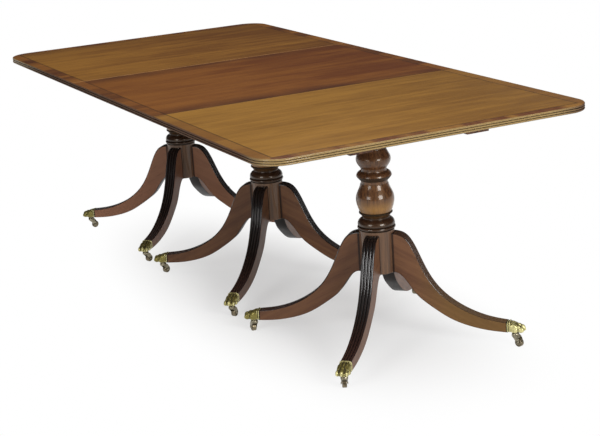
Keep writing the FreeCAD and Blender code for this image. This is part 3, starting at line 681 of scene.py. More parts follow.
def top_marks(finish, place, outer_x, lit_reach):
    """Masks of the veneer's layout: the band, its end stretch, the dark line, the seams and stains by them.

    The last two are 1 on the half towards the near end, and where the edge is painted lit and gold round
    the end.
    """
    x, y, _ = finish.axes(place)
    side_gap = TOP_HALF_WIDTH - abs(y)
    end_gap = outer_x + END_BAND_LOSS - abs(x)
    gap = side_gap.least(end_gap)
    band = within(finish, gap, BAND_WIDTH)
    end = finish.ease(side_gap - end_gap, -LINE_SOFT, LINE_SOFT)
    line = within(finish, abs(gap - BAND_WIDTH - LINE_WIDTH / 2), LINE_WIDTH / 2)
    from_seam = abs(abs(x) - TOP_HIGH.x)
    seam = within(finish, from_seam, SEAM_LINE)
    stain = finish.ease(from_seam, STAIN_REACH, 0.0).most(finish.ease(end_gap, STAIN_REACH * 2.5, 0.0))
    # Painted light: the edge is lit gold round the end and along the sides, fading out before the +Y
    # corner.
    golden = finish.ease(side_gap - end_gap, -lit_reach, 0.0)
    golden = golden * finish.ease(y, TOP_HALF_WIDTH - TOP_CORNER / 4, TOP_HALF_WIDTH - TOP_CORNER * 2)
    return band, end, line, seam, stain, finish.ease(x, -0.01, 0.01), golden


print("crossband", BAND_WIDTH / MM, "mm wide, its line", LINE_WIDTH / MM, "mm")


# %% Veneer finish
def top_finish(name, field, band, stained, outer_x, lit_reach):
    """Veneered top: field and band are pairs of a dark and a light tone; outer_x is where the end lies.

    The edge is painted lit and gold round the end, and on along the sides for the given reach.
    """
    finish = Finish(name)
    place = finish.place()
    in_band, at_end, line, seam, stain, near_half, golden = top_marks(finish, place, outer_x, lit_reach)
    edge = finish.attribute("edge")
    inset = finish.attribute("inset")
    wide_groove = finish.ease(inset, 0.10, 0.40)
    groove = wide_groove + (finish.ease(inset, 0.25, 0.65) - wide_groove) * golden
    # Painted light: the field gets lighter towards its -Y side.
    painted_light_side = finish.ease(finish.axes(place)[1], TOP_HALF_WIDTH, -TOP_HALF_WIDTH)

    streaks, pores = grain(finish, place, 3.0, 50.0)
    figure = finish.noise(place, (7.0, 1.3, 1.0), detail=3.0, roughness=0.55)
    mottle = finish.noise(place, (24.0, 6.5, 1.0), detail=5.0, roughness=0.6)
    warm = finish.ease(figure * 0.24 + streaks * 0.14 + mottle * 0.26 + painted_light_side * 0.14, 0.22, 0.54)
    veneer = finish.blend(warm, field[0], field[1])
    blots = finish.ease(finish.noise(place, (5.0, 4.0, 1.0), detail=3.0), 0.35, 0.65)
    veneer = finish.blend(stain * (0.35 + blots * 0.65) * stained, veneer, tone(58, 26, 14))

    crosswise = seen_across(finish, place)
    cross_streaks, cross_pores = grain(finish, crosswise, 4.0, 80.0)
    patches = finish.ease(finish.noise(crosswise, (13.0, 1.0, 1.0), detail=2.0), 0.44, 0.64)
    side_patches = finish.ease(finish.noise(place, (7.0, 0.5, 1.0), detail=2.0), 0.40, 0.56)
    lines = streaks + (cross_streaks - streaks) * at_end
    side_band = finish.blend(lines * 0.4 + side_patches * 0.6, band[0], band[1])
    end_band = finish.blend(patches * 0.75 + lines * 0.25, BAND_DARK, band[1])
    crossband = finish.blend(at_end, side_band, end_band)

    pitted = pores + (cross_pores - pores) * at_end * in_band
    colour = finish.layered(
        finish.blend(in_band, veneer, crossband),
        (pitted * 0.25, tone(64, 38, 18)),
        (line * 0.9, tone(30, 16, 9)),
        # Painted highlight: a pale line along the seam between the middle and far tops; the near seam is
        # dark.
        (seam * 0.8, finish.blend(near_half, tone(168, 126, 78), tone(34, 18, 12))),
        # Painted light: the reeded edge is gold where lit and dark where shaded.
        (edge, finish.blend(golden, EDGE_SHADED, EDGE_LIT)),
        (groove, tone(14, 8, 5)),
    )
    polish = finish.noise(place, 7.0, detail=3.0)
    dry = edge * (1.0 - golden)
    finish.shade(Base_Color=colour, Roughness=0.44 + polish * 0.16 + pitted * 0.08 + dry * 0.25,
                 Specular_IOR_Level=0.17, Coat_Weight=edge * golden * (1.0 - groove) * 0.5,
                 Coat_Roughness=0.1, Normal=finish.bump(0.0 - pitted - line * 0.6, 0.00012))
    return finish


near_veneer = top_finish(
    "near_veneer", (tone(109, 73, 26), tone(138, 98, 38)), (tone(108, 70, 28), tone(130, 91, 38)),
    stained=0.0, outer_x=END_HIGH.x, lit_reach=160 * MM)
middle_veneer = top_finish(
    "middle_veneer", (tone(87, 44, 15), tone(119, 73, 27)), (tone(70, 37, 17), tone(121, 74, 29)),
    stained=0.85, outer_x=NO_END, lit_reach=160 * MM)
far_veneer = top_finish(
    "far_veneer", (tone(95, 57, 19), tone(133, 91, 34)), (tone(72, 37, 17), tone(127, 81, 32)),
    stained=0.35, outer_x=END_HIGH.x, lit_reach=520 * MM)
print("veneers", near_veneer.material.name, middle_veneer.material.name, far_veneer.material.name)


# %% Lay the tops
def bare_faces(mesh):
    """The seams and the underside, flat faces that were never polished, get the plain wood."""
    mesh.materials.append(underside_wood.material)
    corners = np.zeros(len(mesh.polygons), int)
    normals = np.zeros(len(mesh.polygons) * 3)
    mesh.polygons.foreach_get("loop_total", corners)
    mesh.polygons.foreach_get("normal", normals)
    bare = (corners > 4) & (normals[2::3] < 0.5)
    mesh.polygons.foreach_set("material_index", bare.astype(int))


def lay_top(section, runs, finish):
    """One top with its notes: where its edge is, and how deep a point lies between two reeds."""
    inset = reed_profile()[:, 0] / EDGE_REED_DEPTH
    inset[:3] = 0  # the upper corner is no groove
    edge = (np.arange(len(inset)) > 0).astype(float)
    rows = sum(len(run) for run in runs)
    notes = {"inset": np.tile(inset, rows), "edge": np.tile(edge, rows)}
    top = make_piece(section + "_top", "reeded", top_shell(runs), finish, notes, crease=30)
    bare_faces(top.data)
    return top


tops = [
    lay_top("right", end_runs(1), near_veneer),
    lay_top("middle", middle_runs(), middle_veneer),
    lay_top("left", end_runs(-1), far_veneer),
]
print("tops", [(top.name, len(top.data.polygons)) for top in tops])

# %% [markdown]
# ## The columns
# A column and its hub are one turning: a plain drum that carries the legs, a ring and a swelling base,
# a thin collar, a vase, a sharp-edged ring between two fillets, a bulb and a capital under the block.
# A screw or spin modifier could turn it. The turner's list below says the same in fewer steps, and gives
# the depth of each groove to the finish, which paints shade there.

# %% The turner's list
TURNED_STEPS = 128
FOOT_RADIUS = 53.8
# In mm: each step's radius, rise and bulge; the vase and the bulb are radius and rise above their foot.
HUB_AND_COLLAR = [
    (55.0, 1.2, 0.3),
    (55.0, 131.8, 0),
    (55.0, 1.5, 0),
    (53.0, 0.4, 0),
    (53.0, 1.4, 0),
    (55.0, 0.5, 0),
    (55.2, 9.8, 3.9),
    (53.4, 0.3, 0),
    (53.4, 1.4, 0),
    (57.0, 0.5, 0),
    (43.2, 21.6, 5.2),
    (42.0, 0.4, 0),
    (42.0, 3.2, -0.3),
    (42.6, 0.3, 0),
    (50.6, 11.0, -0.9),
    (51.2, 0.4, 0),
    (51.2, 4.2, 0.6),
    (49.0, 0.4, 0),
]
VASE = [(49.0, 0), (54.6, 15.7), (58.8, 42.7), (55.4, 57.7), (51.4, 66.7), (47.2, 75.7), (42.9, 88.7)]
RING = [
    (41.6, 0.3, 0),
    (41.6, 9.6, -0.4),
    (43.0, 0.4, 0),
    (54.4, 14.0, 0.8),
    (54.4, 1.0, 0.2),
    (45.2, 12.4, 2.0),
    (39.5, 0.6, 0),
    (38.6, 5.4, -0.4),
    (39.4, 0.3, 0),
]
BULB = [
    (39.4, 0), (41.3, 6), (45.5, 12), (50.3, 20), (53.4, 31),
    (52.0, 40), (46.6, 51), (43.6, 57), (40.5, 64),
]
CAPITAL = [
    (38.5, 0.4, 0),
    (38.5, 4.6, -0.4),
    (64.0, 36.0, -8.3),
    (64.0, 12.0, 0),
    (24.0, 0.0, 0),
    (24.0, 39.4, 0),
    (23.4, 0.6, 0),
]


def column_profile():
    """Radius and height in mm, from the foot of the hub up to the top of the tenon."""
    profile = turned((FOOT_RADIUS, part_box("middle_column")[0].z / MM), HUB_AND_COLLAR)
    for shape, marks in ((swelled, VASE), (turned, RING), (swelled, BULB), (turned, CAPITAL)):
        profile = np.concatenate([profile, shape(profile[-1], marks)[1:]])
    return profile


COLUMN_PROFILE = column_profile()
print("column from", COLUMN_PROFILE[0].round(1), "to", COLUMN_PROFILE[-1].round(1),
      "in", len(COLUMN_PROFILE), "points")

# %% Where the columns get painted shade
GROOVE_REACH = 2.0
# Heights in mm, from and to, and how dark the turning is: painted shade in the grooves, at the collar
# and under the overhang of the sharp ring.
SHADED_TURNINGS = [(360.3, 362.9, 1.0), (372.5, 374.9, 1.0), (411.0, 416.4, 1.0), (515.0, 529.8, 0.85)]
# Heights in mm, from and to, how soft the ends are, and the share and tone of each band.
COLUMN_TONES_AND_PAINTED_LIGHT = [
    (100, 360, 1, 0.3, tone(104, 84, 70)),
    (362, 411, 1, 0.8, tone(28, 15, 10)),
    # Painted light: the vase's foot lighter and gold, as lit by the floor below.
    (417, 446, 20, 0.55, tone(158, 114, 50)),
    # Painted shade: the ring, bulb and capital darker, as shaded by the top above.
    (520, 760, 16, 0.25, tone(48, 24, 16)),
]


def column_shade():
    """How much painted shade each height gets: its hollows, and the listed turnings."""
    height = COLUMN_PROFILE[:, 1]
    dark = hollows(COLUMN_PROFILE, GROOVE_REACH)
    for low, high, share in SHADED_TURNINGS:
        dark = np.maximum(dark, share * ((height > low) & (height < high)))
    return dark


print("dark points on a column", int((column_shade() > 0.5).sum()))


# %% Turned finish and the three columns
def turned_finish():
    """Dark polished mahogany with upright grain and a clear hard polish; painted shade near black in the
    grooves.
    """
    finish = Finish("turned_polish")
    place = finish.place()
    streaks = finish.noise(place, (190.0, 190.0, 5.0), detail=6.0, roughness=0.6)
    broad = finish.noise(place, (30.0, 30.0, 3.0), detail=3.0)
    pores = finish.ease(finish.noise(place, (600.0, 600.0, 22.0), detail=2.0), 0.60, 0.72)
    warm = finish.ease(streaks * 0.75 + broad * 0.25, 0.30, 0.68)
    colour = finish.blend(warm, tone(50, 28, 18), tone(104, 69, 41))
    _, _, height = finish.axes(place)
    # Bands by height; the vase's foot gets painted light and the upper turnings painted shade.
    for low, high, soft, share, shade in COLUMN_TONES_AND_PAINTED_LIGHT:
        inside = finish.ease(height, (low - soft) * MM, (low + soft) * MM)
        inside = inside * finish.ease(height, (high + soft) * MM, (high - soft) * MM)
        colour = finish.blend(inside * share, colour, shade)
    # Painted shade: near black in the hollows and on the listed turnings.
    hollow = finish.attribute("hollow")
    colour = finish.layered(colour, (pores * 0.4, tone(34, 19, 11)), (hollow * 0.95, tone(12, 7, 5)))
    worn = finish.noise(place, 14.0, detail=4.0)
    finish.shade(Base_Color=colour, Roughness=0.30 + worn * 0.14 + pores * 0.06 + hollow * 0.3,
                 Coat_Weight=0.5 - hollow * 0.5, Coat_Roughness=0.1, Specular_IOR_Level=0.35,
                 Specular_Tint=tone(255, 226, 190), Normal=finish.bump(0.0 - pores, 0.00002))
    return finish


column_finish = turned_finish()
column_notes = {"hollow": np.repeat(column_shade(), TURNED_STEPS)}
column_x = {}
for section in SECTIONS:
    low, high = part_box(section + "_column")
    column_x[section] = (low.x + high.x) / 2
    points, faces = lathe(COLUMN_PROFILE * MM, TURNED_STEPS)
    points = placed(points, x=column_x[section])
    column = make_piece(section + "_column", "turned", (points, faces), column_finish, column_notes)
    print(column.name, len(column.data.polygons), "faces")

# %% [markdown]
# ## The legs
# A sabre leg is sawn from one plank, so its sides are flat and its upper and lower edges are two smooth
# curves. Its upper face has four reeds that run from the hub to the toe. A bevelled curve object would
# keep one section all the way, but this one grows narrower and shallower. So the section is a ring of
# shares, how far across and how far up, and each station of the curve stretches it to its own size.
# Planks differ, and painted light is laid over them: the far section's legs are paler, partly from their
# planks and partly as painted light, one of them lighter still towards its toe, and one leg of the near
# section is painted lighter and gold, as if lit more.

# %% The curve of a leg
# In mm: the reach from the column's axis, and the heights of the upper and the lower edge.
LEG_STATIONS = [
    (50.0, 352.0, 226.0),
    (62.0, 351.0, 225.5),
    (82.0, 345.0, 212.0),
    (104.0, 324.0, 183.0),
    (124.0, 286.0, 156.0),
    (146.0, 237.0, 136.0),
    (180.0, 182.0, 111.5),
    (230.0, 136.5, 81.5),
    (300.0, 100.0, 58.0),
    (350.0, 85.5, 49.5),
    (401.0, 78.0, 46.0),
]
LEG_ROWS = 110
LEG_ROOT_WIDTH = 42.0
LEG_TOE_WIDTH = 33.0
LEG_REEDS = 4
LEG_REED_DEPTH = 2.5
CAP_REACH = 399 * MM


def leg_curve():
    """Reach, upper edge and lower edge of a leg at even steps along its back."""
    stations = np.array(LEG_STATIONS)
    way = np.concatenate([[0], np.cumsum(np.linalg.norm(np.diff(stations, axis=0), axis=1))])
    return smooth_through(way, stations, np.linspace(0, way[-1], LEG_ROWS))


print("leg curve", leg_curve()[::36].round(1).tolist())

# %% The section of a leg
LOWER_CORNER = [(0.94, 0.0), (0.982, 0.006), (1.0, 0.024)]
SIDE_UPS = np.linspace(0.1, 0.985, 8)
REEDED_SHARE = 0.992
REED_POINTS = 9


def leg_ring():
    """Ring of a leg's section: across from -1 to 1, up from 0 to 1, and crown, the height on a reed.

    It starts under the leg, eases both lower corners, climbs one side, crosses the reeds and comes down.
    """
    side = [(1.0, up) for up in SIDE_UPS] + [(REEDED_SHARE, 1.0)]
    rise = np.array([(0.0, 0.0)] + LOWER_CORNER + side)
    fall = rise[-2:0:-1]
    pitch = 2 * REEDED_SHARE / LEG_REEDS
    reed = bow((0, 0), (pitch, 0), -LEG_REED_DEPTH / (LEG_TOE_WIDTH / 2), REED_POINTS)[1:]
    starts = REEDED_SHARE - pitch * np.arange(LEG_REEDS)[:, None]
    across = np.concatenate([rise[:, 0], (starts - reed[:, 0]).ravel(), -fall[:, 0]])
    reeds = np.tile(reed[:, 1] / reed[:, 1].max(), LEG_REEDS)
    crown = np.concatenate([np.zeros(len(rise)), reeds, np.zeros(len(fall))])
    up = np.concatenate([rise[:, 1], np.ones(len(reeds)), fall[:, 1]])
    return across, up, crown


def leg_shell():
    """Every station stretches the ring to its width and height; the reeds stand square to the slope."""
    reach, top, low = leg_curve().T[:, :, None]
    across, up, crown = leg_ring()
    share = (reach - reach[0]) / (reach[-1] - reach[0])
    width = LEG_ROOT_WIDTH + (LEG_TOE_WIDTH - LEG_ROOT_WIDTH) * share
    slope = np.gradient(top[:, 0]) / np.gradient(reach[:, 0])
    depth = LEG_REED_DEPTH * np.hypot(1, slope)[:, None]
    height = low + (top - depth - low) * up + depth * crown
    points, faces = tube(reach, across * width / 2, height)
    return points * MM, faces


def leg_notes():
    """For the finish: the reeded upper face, the depth between two reeds, and the lower face."""
    _, up, crown = leg_ring()
    upper = (up >= 1).astype(float)
    hollow = upper * np.clip(1.15 - crown * 1.3, 0, 1)
    under = (up <= 0.01).astype(float)
    ring = {"upper": upper, "hollow": hollow, "under": under}
    return {name: np.tile(values, LEG_ROWS) for name, values in ring.items()}


LEG_POINTS, LEG_FACES = leg_shell()
print("leg of", len(LEG_POINTS), "points and", len(LEG_FACES), "faces")

# %% Leg finish and the twelve legs
GRAIN_TILT = (0.0, math.radians(-28), 0.0)
PAST_KNEE = (90 * MM, 250 * MM)
REED_FADE = (180 * MM, 380 * MM)
BESIDE_CAP = (CAP_REACH - 3.4 * MM, CAP_REACH - 2.6 * MM)
BESIDE_HUB = (59 * MM, 55 * MM)
# Paler planks per section, partly their own tone and partly painted light; more painted light towards one
# toe.
LEG_PALE_AND_LIT = {"left": 0.42, "middle": 0.0, "right": 0.06}
LEG_TOE_LIT = {"left_leg_front_left": 0.38}
# Painted light: one near leg lighter and gold past the knee, with paler reeds, as if lit more.
LEG_LIT = {"right_leg_back_right": 1.0}


def leg_finish():
    """Mahogany plank grained along the leg; reeds nearly black, partly old polish, partly painted dark
    reflection.
    """
    finish = Finish("leg_polish")
    board = finish.attribute("board", "Vector")
    tilted = finish.node("ShaderNodeMapping", sockets={"Vector": board, "Rotation": GRAIN_TILT})
    streaks = finish.noise(tilted, (2.5, 80.0, 70.0), detail=6.0, roughness=0.62)
    broad = finish.noise(tilted, (3.0, 14.0, 18.0), detail=3.0)
    pores = finish.ease(finish.noise(tilted, (24.0, 700.0, 600.0), detail=2.0), 0.60, 0.72)
    warm = finish.ease(streaks * 0.75 + broad * 0.25, 0.26, 0.74)
    reach, _, _ = finish.axes(board)
    # Painted light on one leg: lighter and gold past the knee, paler reeds and lighter grooves.
    rubbed = finish.attribute("rubbed")
    past_knee = finish.ease(reach, *PAST_KNEE)
    plank = finish.layered(
        finish.blend(warm, tone(76, 49, 34), tone(106, 73, 49)),
        # Partly painted light: paler planks, and lighter towards one toe.
        (finish.attribute("pale"), tone(166, 118, 92)),
        (rubbed * past_knee * 0.34, tone(124, 98, 40)),
        (pores * 0.35, tone(44, 26, 17)),
    )
    upper = finish.attribute("upper")
    # The reeds are partly dark old polish and partly a painted dark reflection, darker towards the hub.
    reeds = finish.blend(finish.ease(reach, *REED_FADE), tone(22, 19, 19), tone(54, 35, 31))
    reeds = finish.blend(rubbed * (0.4 + past_knee * 0.3), reeds, plank)
    colour = finish.layered(
        plank,
        (upper * 0.97, reeds),
        (finish.attribute("hollow") * (0.95 - rubbed * 0.15), tone(5, 4, 4)),
        # Painted shade under the leg: the lower face is near black.
        (finish.attribute("under") * 0.95, tone(8, 8, 7)),
        (finish.ease(reach, *BESIDE_CAP), tone(8, 6, 5)),
        # Painted shade where the leg meets the hub.
        (finish.ease(reach, *BESIDE_HUB) * 0.85, tone(18, 11, 8)),
    )
    worn = finish.noise(board, 16.0, detail=4.0)
    finish.shade(Base_Color=colour, Roughness=0.32 + worn * 0.2 - upper * 0.2,
                 Coat_Weight=0.06 + upper * 0.5, Coat_Roughness=0.13, Specular_IOR_Level=0.16,
                 Normal=finish.bump((upper - 1.0) * pores, 0.00008))
    return finish


plank_finish = leg_finish()
leg_marks = leg_notes()
reach = LEG_POINTS[:, 0]
for section in SECTIONS:
    for corner, turn in CORNER_TURNS.items():
        node = section + "_leg_" + corner
        points = placed(LEG_POINTS, turn, column_x[section])
        pale = LEG_PALE_AND_LIT[section] + LEG_TOE_LIT.get(node, 0.0) * reach / reach.max()
        rubbed = np.full(len(points), LEG_LIT.get(node, 0.0))
        notes = {**leg_marks, "board": LEG_POINTS, "pale": pale, "rubbed": rubbed}
        make_piece(node, "reeded", (points, LEG_FACES), plank_finish, notes, crease=50)
print("twelve legs")

# %% [markdown]
# ## The paws
# Each toe ends in a cast brass paw: a collar with a row of beads, a back that slopes down, a smooth lobe
# on each side, and three toes with knuckles and claws. A carver's wax model is built up from lumps and then
# smoothed together, and so is this: swollen rounds are laid over a body, a voxel Remesh melts them into
# one skin, and a few rounds of averaging take the steps off it.

# %% Lumps of a paw
# In mm: the reach from the back of the cap, half the width, and the heights of the lower and upper side.
PAW_BODY = [
    (0.0, 18.9, 0.0, 34.0),
    (2.0, 19.0, 0.0, 34.0),
    (2.6, 16.6, 1.2, 31.6),
    (4.8, 16.6, 1.2, 31.4),
    (5.6, 18.2, 0.3, 33.2),
    (8.0, 18.3, 0.2, 32.9),
    (9.0, 16.8, 0.9, 31.0),
    (18.0, 17.0, 0.3, 29.6),
    (28.0, 16.8, 0.3, 26.4),
    (36.0, 15.4, 0.6, 22.2),
    (44.0, 12.0, 1.5, 16.6),
    (49.0, 8.0, 4.0, 12.0),
]
# Centre and radii in mm, turn and dip in degrees: beads, back, toes with knuckles and claws, lobes.
PAW_LUMPS = [
    ((7.0, 0.0, 32.4), (2.4, 3.2, 2.2), 0, 0),
    ((7.0, 7.4, 32.2), (2.4, 3.2, 2.2), 0, 0),
    ((7.0, 14.2, 31.2), (2.4, 3.0, 2.2), 0, 0),
    ((18.0, 0.0, 28.6), (11.0, 4.0, 3.4), 0, 14),
    ((16.0, 9.6, 27.4), (10.0, 3.8, 3.8), 4, 14),
    ((42.4, 0.0, 12.0), (12.4, 6.8, 11.6), 0, 0),
    ((33.8, 0.0, 21.8), (8.6, 5.8, 5.8), 0, 22),
    ((53.2, 0.0, 8.8), (2.4, 2.6, 3.4), 0, 0),
    ((41.0, 13.6, 10.2), (9.8, 6.0, 9.4), 12, 0),
    ((34.4, 12.6, 17.8), (6.4, 5.0, 5.6), 10, 22),
    ((49.0, 16.0, 7.6), (2.2, 2.2, 3.0), 16, 0),
    ((17.4, 14.8, 14.4), (15.0, 6.0, 13.4), 5, 26),
    ((24.6, 16.6, 8.8), (7.8, 4.8, 8.4), 8, 10),
]
PAW_STEPS = 72
PAW_BOXINESS = 0.42
LUMP_ROWS = 23
LUMP_STEPS = 32
POLE_GAP = 4


def lump(centre, radii, turn, dip):
    """An ellipsoid from its polar angle and its heading, dipped forwards and then turned, in degrees."""
    polar = np.radians(np.linspace(POLE_GAP, 180 - POLE_GAP, LUMP_ROWS))[:, None]
    heading = np.radians(np.linspace(0, 360, LUMP_STEPS, endpoint=False))
    ball, faces = tube(np.sin(polar) * np.cos(heading), np.sin(polar) * np.sin(heading), np.cos(polar))
    c, s = math.cos(math.radians(dip)), math.sin(math.radians(dip))
    dipped = (ball * radii) @ np.array([[c, 0, -s], [0, 1, 0], [s, 0, c]])
    return placed(dipped, turn) + centre, faces


def paw_body():
    """Boxy sections along the paw: across and up are a cosine and a sine, pressed towards their limits."""
    reach, half, low, high = np.array(PAW_BODY).T[:, :, None]
    turn = np.linspace(0, 2 * math.pi, PAW_STEPS, endpoint=False)
    across, up = [np.sign(wave) * np.abs(wave) ** PAW_BOXINESS for wave in (np.cos(turn), np.sin(turn))]
    return tube(reach, half * across, (low + high) / 2 + (high - low) / 2 * up)


def paw_shells():
    """Body and lumps; a lump to one side has a twin on the other."""
    shells = [paw_body()]
    for (x, y, z), radii, turn, dip in PAW_LUMPS:
        shells.append(lump((x, y, z), radii, turn, dip))
        if y:
            shells.append(lump((x, -y, z), radii, -turn, dip))
    return shells


print("a paw is", len(paw_shells()), "lumps")

# %% Melt the lumps and read the hollows
PAW_VOXEL = 0.75 * MM
PAW_ROUNDS = 3
AROUND_ROUNDS = 14
DEEP_HOLLOW = 0.35 * MM


def melted(shell, voxel):
    """One skin round all the shells of a piece, by a voxel Remesh."""
    mesh = bpy.data.meshes.new("wax")
    mesh.from_pydata((shell[0] * MM).tolist(), [], shell[1])
    wax = bpy.data.objects.new("wax", mesh)
    bpy.context.scene.collection.objects.link(wax)
    remesh = wax.modifiers.new("melt", "REMESH")
    remesh.mode = "VOXEL"
    remesh.voxel_size = voxel
    skin = bpy.data.meshes.new_from_object(wax.evaluated_get(bpy.context.evaluated_depsgraph_get()))
    points = np.zeros(len(skin.vertices) * 3)
    skin.vertices.foreach_get("co", points)
    edges = np.zeros(len(skin.edges) * 2, int)
    skin.edges.foreach_get("vertices", edges)
    faces = [list(face.vertices) for face in skin.polygons]
    bpy.data.objects.remove(wax)
    bpy.data.meshes.remove(mesh)
    bpy.data.meshes.remove(skin)
    return points.reshape(-1, 3), faces, edges.reshape(-1, 2)


def averaged(points, edges, rounds):
    """Each round moves every point half way to the mean of its neighbours."""
    count = np.bincount(edges.ravel(), minlength=len(points))[:, None]
    for _ in range(rounds):
        total = np.zeros_like(points)
        np.add.at(total, edges[:, 0], points[edges[:, 1]])
        np.add.at(total, edges[:, 1], points[edges[:, 0]])
        points = (points + total / count) / 2
    return points


def outward(points, faces):
    """Unit normal at each point: the sum of the crosses of its quads' diagonals."""
    quads = np.array([face for face in faces if len(face) == 4])
    cross = np.cross(points[quads[:, 2]] - points[quads[:, 0]], points[quads[:, 3]] - points[quads[:, 1]])
    total = np.zeros_like(points)
    np.add.at(total, quads.ravel(), np.repeat(cross, 4, axis=0))
    return total / np.maximum(np.linalg.norm(total, axis=1, keepdims=True), 1e-12)


def cast_paw():
    """The paw's skin and its notes: how far a point lies under or over its surroundings, and the back.

    The surroundings are the same skin after many more rounds of averaging. The furry back is what faces up.
    """
    points, faces, edges = melted(joined(paw_shells()), PAW_VOXEL)
    points = averaged(points, edges, PAW_ROUNDS)
    around = averaged(points, edges, AROUND_ROUNDS)
    normal = outward(points, faces)
    depth = ((around - points) * normal).sum(axis=1) / DEEP_HOLLOW
    fur = np.clip(normal[:, 2] * 2 - 0.4, 0, 1)
    return points, faces, {"hollow": np.clip(depth, 0, 1), "proud": np.clip(-depth, 0, 1), "fur": fur}


PAW_POINTS, PAW_FACES, PAW_NOTES = cast_paw()
print("paw skin of", len(PAW_POINTS), "points, as large as", np.ptp(PAW_POINTS, axis=0).round(4))


# %% Brass finish and the twelve paws
def brass_finish(name, bright, dull, dark, polish, metal):
    """Old brass: bright where hands and cloths reach, dull over most of it, and dark in its hollows."""
    finish = Finish(name)
    place = finish.place()
    fur = finish.attribute("fur")
    hollow = finish.attribute("hollow")
    blotch = finish.noise(place, 90.0, detail=3.0)
    spots = finish.ease(finish.noise(place, 420.0, detail=3.0), 0.58, 0.70) * (0.15 + fur * 0.5)
    tufts = finish.ease(finish.noise(place, 210.0, detail=2.0), 0.62, 0.44) * fur
    # The back is duller, and painted shade dulls whole paws by the number given per corner.
    age = fur * 0.25 + finish.attribute("age") * 0.4
    worn = finish.ease(blotch * 0.7 + finish.attribute("proud") * 0.6 - age, 0.10, 0.60)
    soot = finish.ease(hollow * 1.4 + blotch * 0.3 + tufts * 0.4, 0.35, 0.95)
    colour = finish.layered(finish.blend(worn, dull, bright), (spots, dark), (soot, dark))
    finish.shade(Base_Color=colour, Metallic=metal - soot * 0.4,
                 Roughness=polish + 0.18 * blotch + soot * 0.3,
                 Normal=finish.bump(blotch * 0.08 - spots * 0.05 - tufts * 0.5, 0.0008))
    return finish


PAW_COLLAR = 2.6 * MM
# Painted shade per paw: a higher number paints the paw duller, as if in shade.
PAW_SHADE = {"front_right": 0.6, "back_right": 0.0, "back_left": 0.6, "front_left": 1.0}
cap_brass = brass_finish(
    "paw_brass", tone(220, 212, 152), tone(128, 118, 62), tone(52, 45, 20), polish=0.32, metal=0.65)
past_collar = PAW_POINTS[:, 0] > PAW_COLLAR
notes = {name: np.tile(values, len(CORNER_TURNS)) for name, values in PAW_NOTES.items()}
notes["age"] = np.concatenate([PAW_SHADE[corner] * past_collar for corner in CORNER_TURNS])
for section in SECTIONS:
    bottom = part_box(section + "_toe_caps")[0].z
    local = PAW_POINTS + (CAP_REACH, 0, bottom)
    paws = joined([(placed(local, turn, column_x[section]), PAW_FACES) for turn in CORNER_TURNS.values()])
    make_piece(section + "_toe_caps", "cast", paws, cap_brass, notes, crease=80)
print("three sets of paws")

# %% [markdown]
# ## The casters
# A horn hangs under each paw and swivels: a bell-shaped crown, two cheeks that sweep back, and a riveted
# axle between them. The bell and the rivets are turned profiles. A cheek is an outline in side view, and
# carrying it through its thickness with a little inset at both faces rounds its edges. The joints of the
# packed record say where each caster stands and which way it trails.

# %% Shape the cheek of a horn
CHEEK_HALF = 8.0
CHEEK_TOP = 36.0
CHEEK_BACK = 31.0
CHEEK_SWEEP = 4.5
CHEEK_SWELL = 1.5
CHEEK_INNER = 7.5
CHEEK_OUTER = 9.9
CHEEK_EDGE = 0.7
BOSS_RADIUS = 5.5
ARC_POINTS = 15
SAMPLE_CASTER = (14, 13)  # trail and height of the axle, in mm


def cheek_outline(trail, axle):
    """Side view of a cheek: down from the crown in front, round the axle's boss and up behind."""
    back, front = (-CHEEK_HALF, CHEEK_TOP), (CHEEK_HALF, CHEEK_TOP)
    boss_front, boss_back = (trail + BOSS_RADIUS, axle), (trail - BOSS_RADIUS, axle)
    runs = [
        bow(back, front, 0),
        bow(front, boss_front, -CHEEK_SWEEP, ARC_POINTS),
        bow(boss_front, boss_back, BOSS_RADIUS, ARC_POINTS),
        bow(boss_back, (-CHEEK_HALF, CHEEK_BACK), CHEEK_SWELL, ARC_POINTS),
    ]
    return np.concatenate([run[:-1] for run in runs])


def cheek(trail, axle):
    """The outline at five depths through the cheek, pulled in by the edge's rounding at both faces."""
    outline = cheek_outline(trail, axle)
    ahead = np.roll(outline, -1, axis=0) - np.roll(outline, 1, axis=0)
    inward = np.stack([ahead[:, 1], -ahead[:, 0]], axis=-1) / np.linalg.norm(ahead, axis=1, keepdims=True)
    inward *= np.sign(((outline.mean(axis=0) - outline) * inward).sum())
    inner_edge = np.array([0.0, 0.4]) * CHEEK_EDGE
    outer_edge = np.array([1.0, 0.3, 0.0]) * CHEEK_EDGE
    depth = np.concatenate([CHEEK_INNER + inner_edge, CHEEK_OUTER - outer_edge])
    inset = np.array([0.5, 0.0, 0.0, 0.4, 1.0]) * CHEEK_EDGE
    flat = outline + inward * inset[:, None, None]
    return tube(flat[..., 0], depth[:, None], flat[..., 1])


print("a cheek has", len(cheek(*SAMPLE_CASTER)[1]), "faces")

# %% Shape a horn and a wheel
# Turned profiles in mm: radius and height, or radius and half width on the wheel.
BELL = [
    (8.4, 30.6), (10.6, 31.2), (11.3, 33.0), (11.4, 36.0),
    (11.1, 39.2), (9.8, 40.8), (7.2, 41.3), (7.0, 44.7),
]
AXLE_HEAD = [(3.9, 0.0), (3.8, 0.5), (3.2, 1.0), (2.0, 1.28), (0.6, 1.3)]
WHEEL_SIDE = [
    (2.6, 7.0), (4.8, 7.0), (5.1, 6.7), (5.3, 5.7),
    (8.6, 5.4), (9.3, 5.9), (9.8, 6.8), (10.4, 7.0),
]
TREAD_HALF = 4.2
TREAD_ROUND = 0.9
TREAD_POINTS = 7
BELL_STEPS = 48
HEAD_STEPS = 32
WHEEL_STEPS = 64


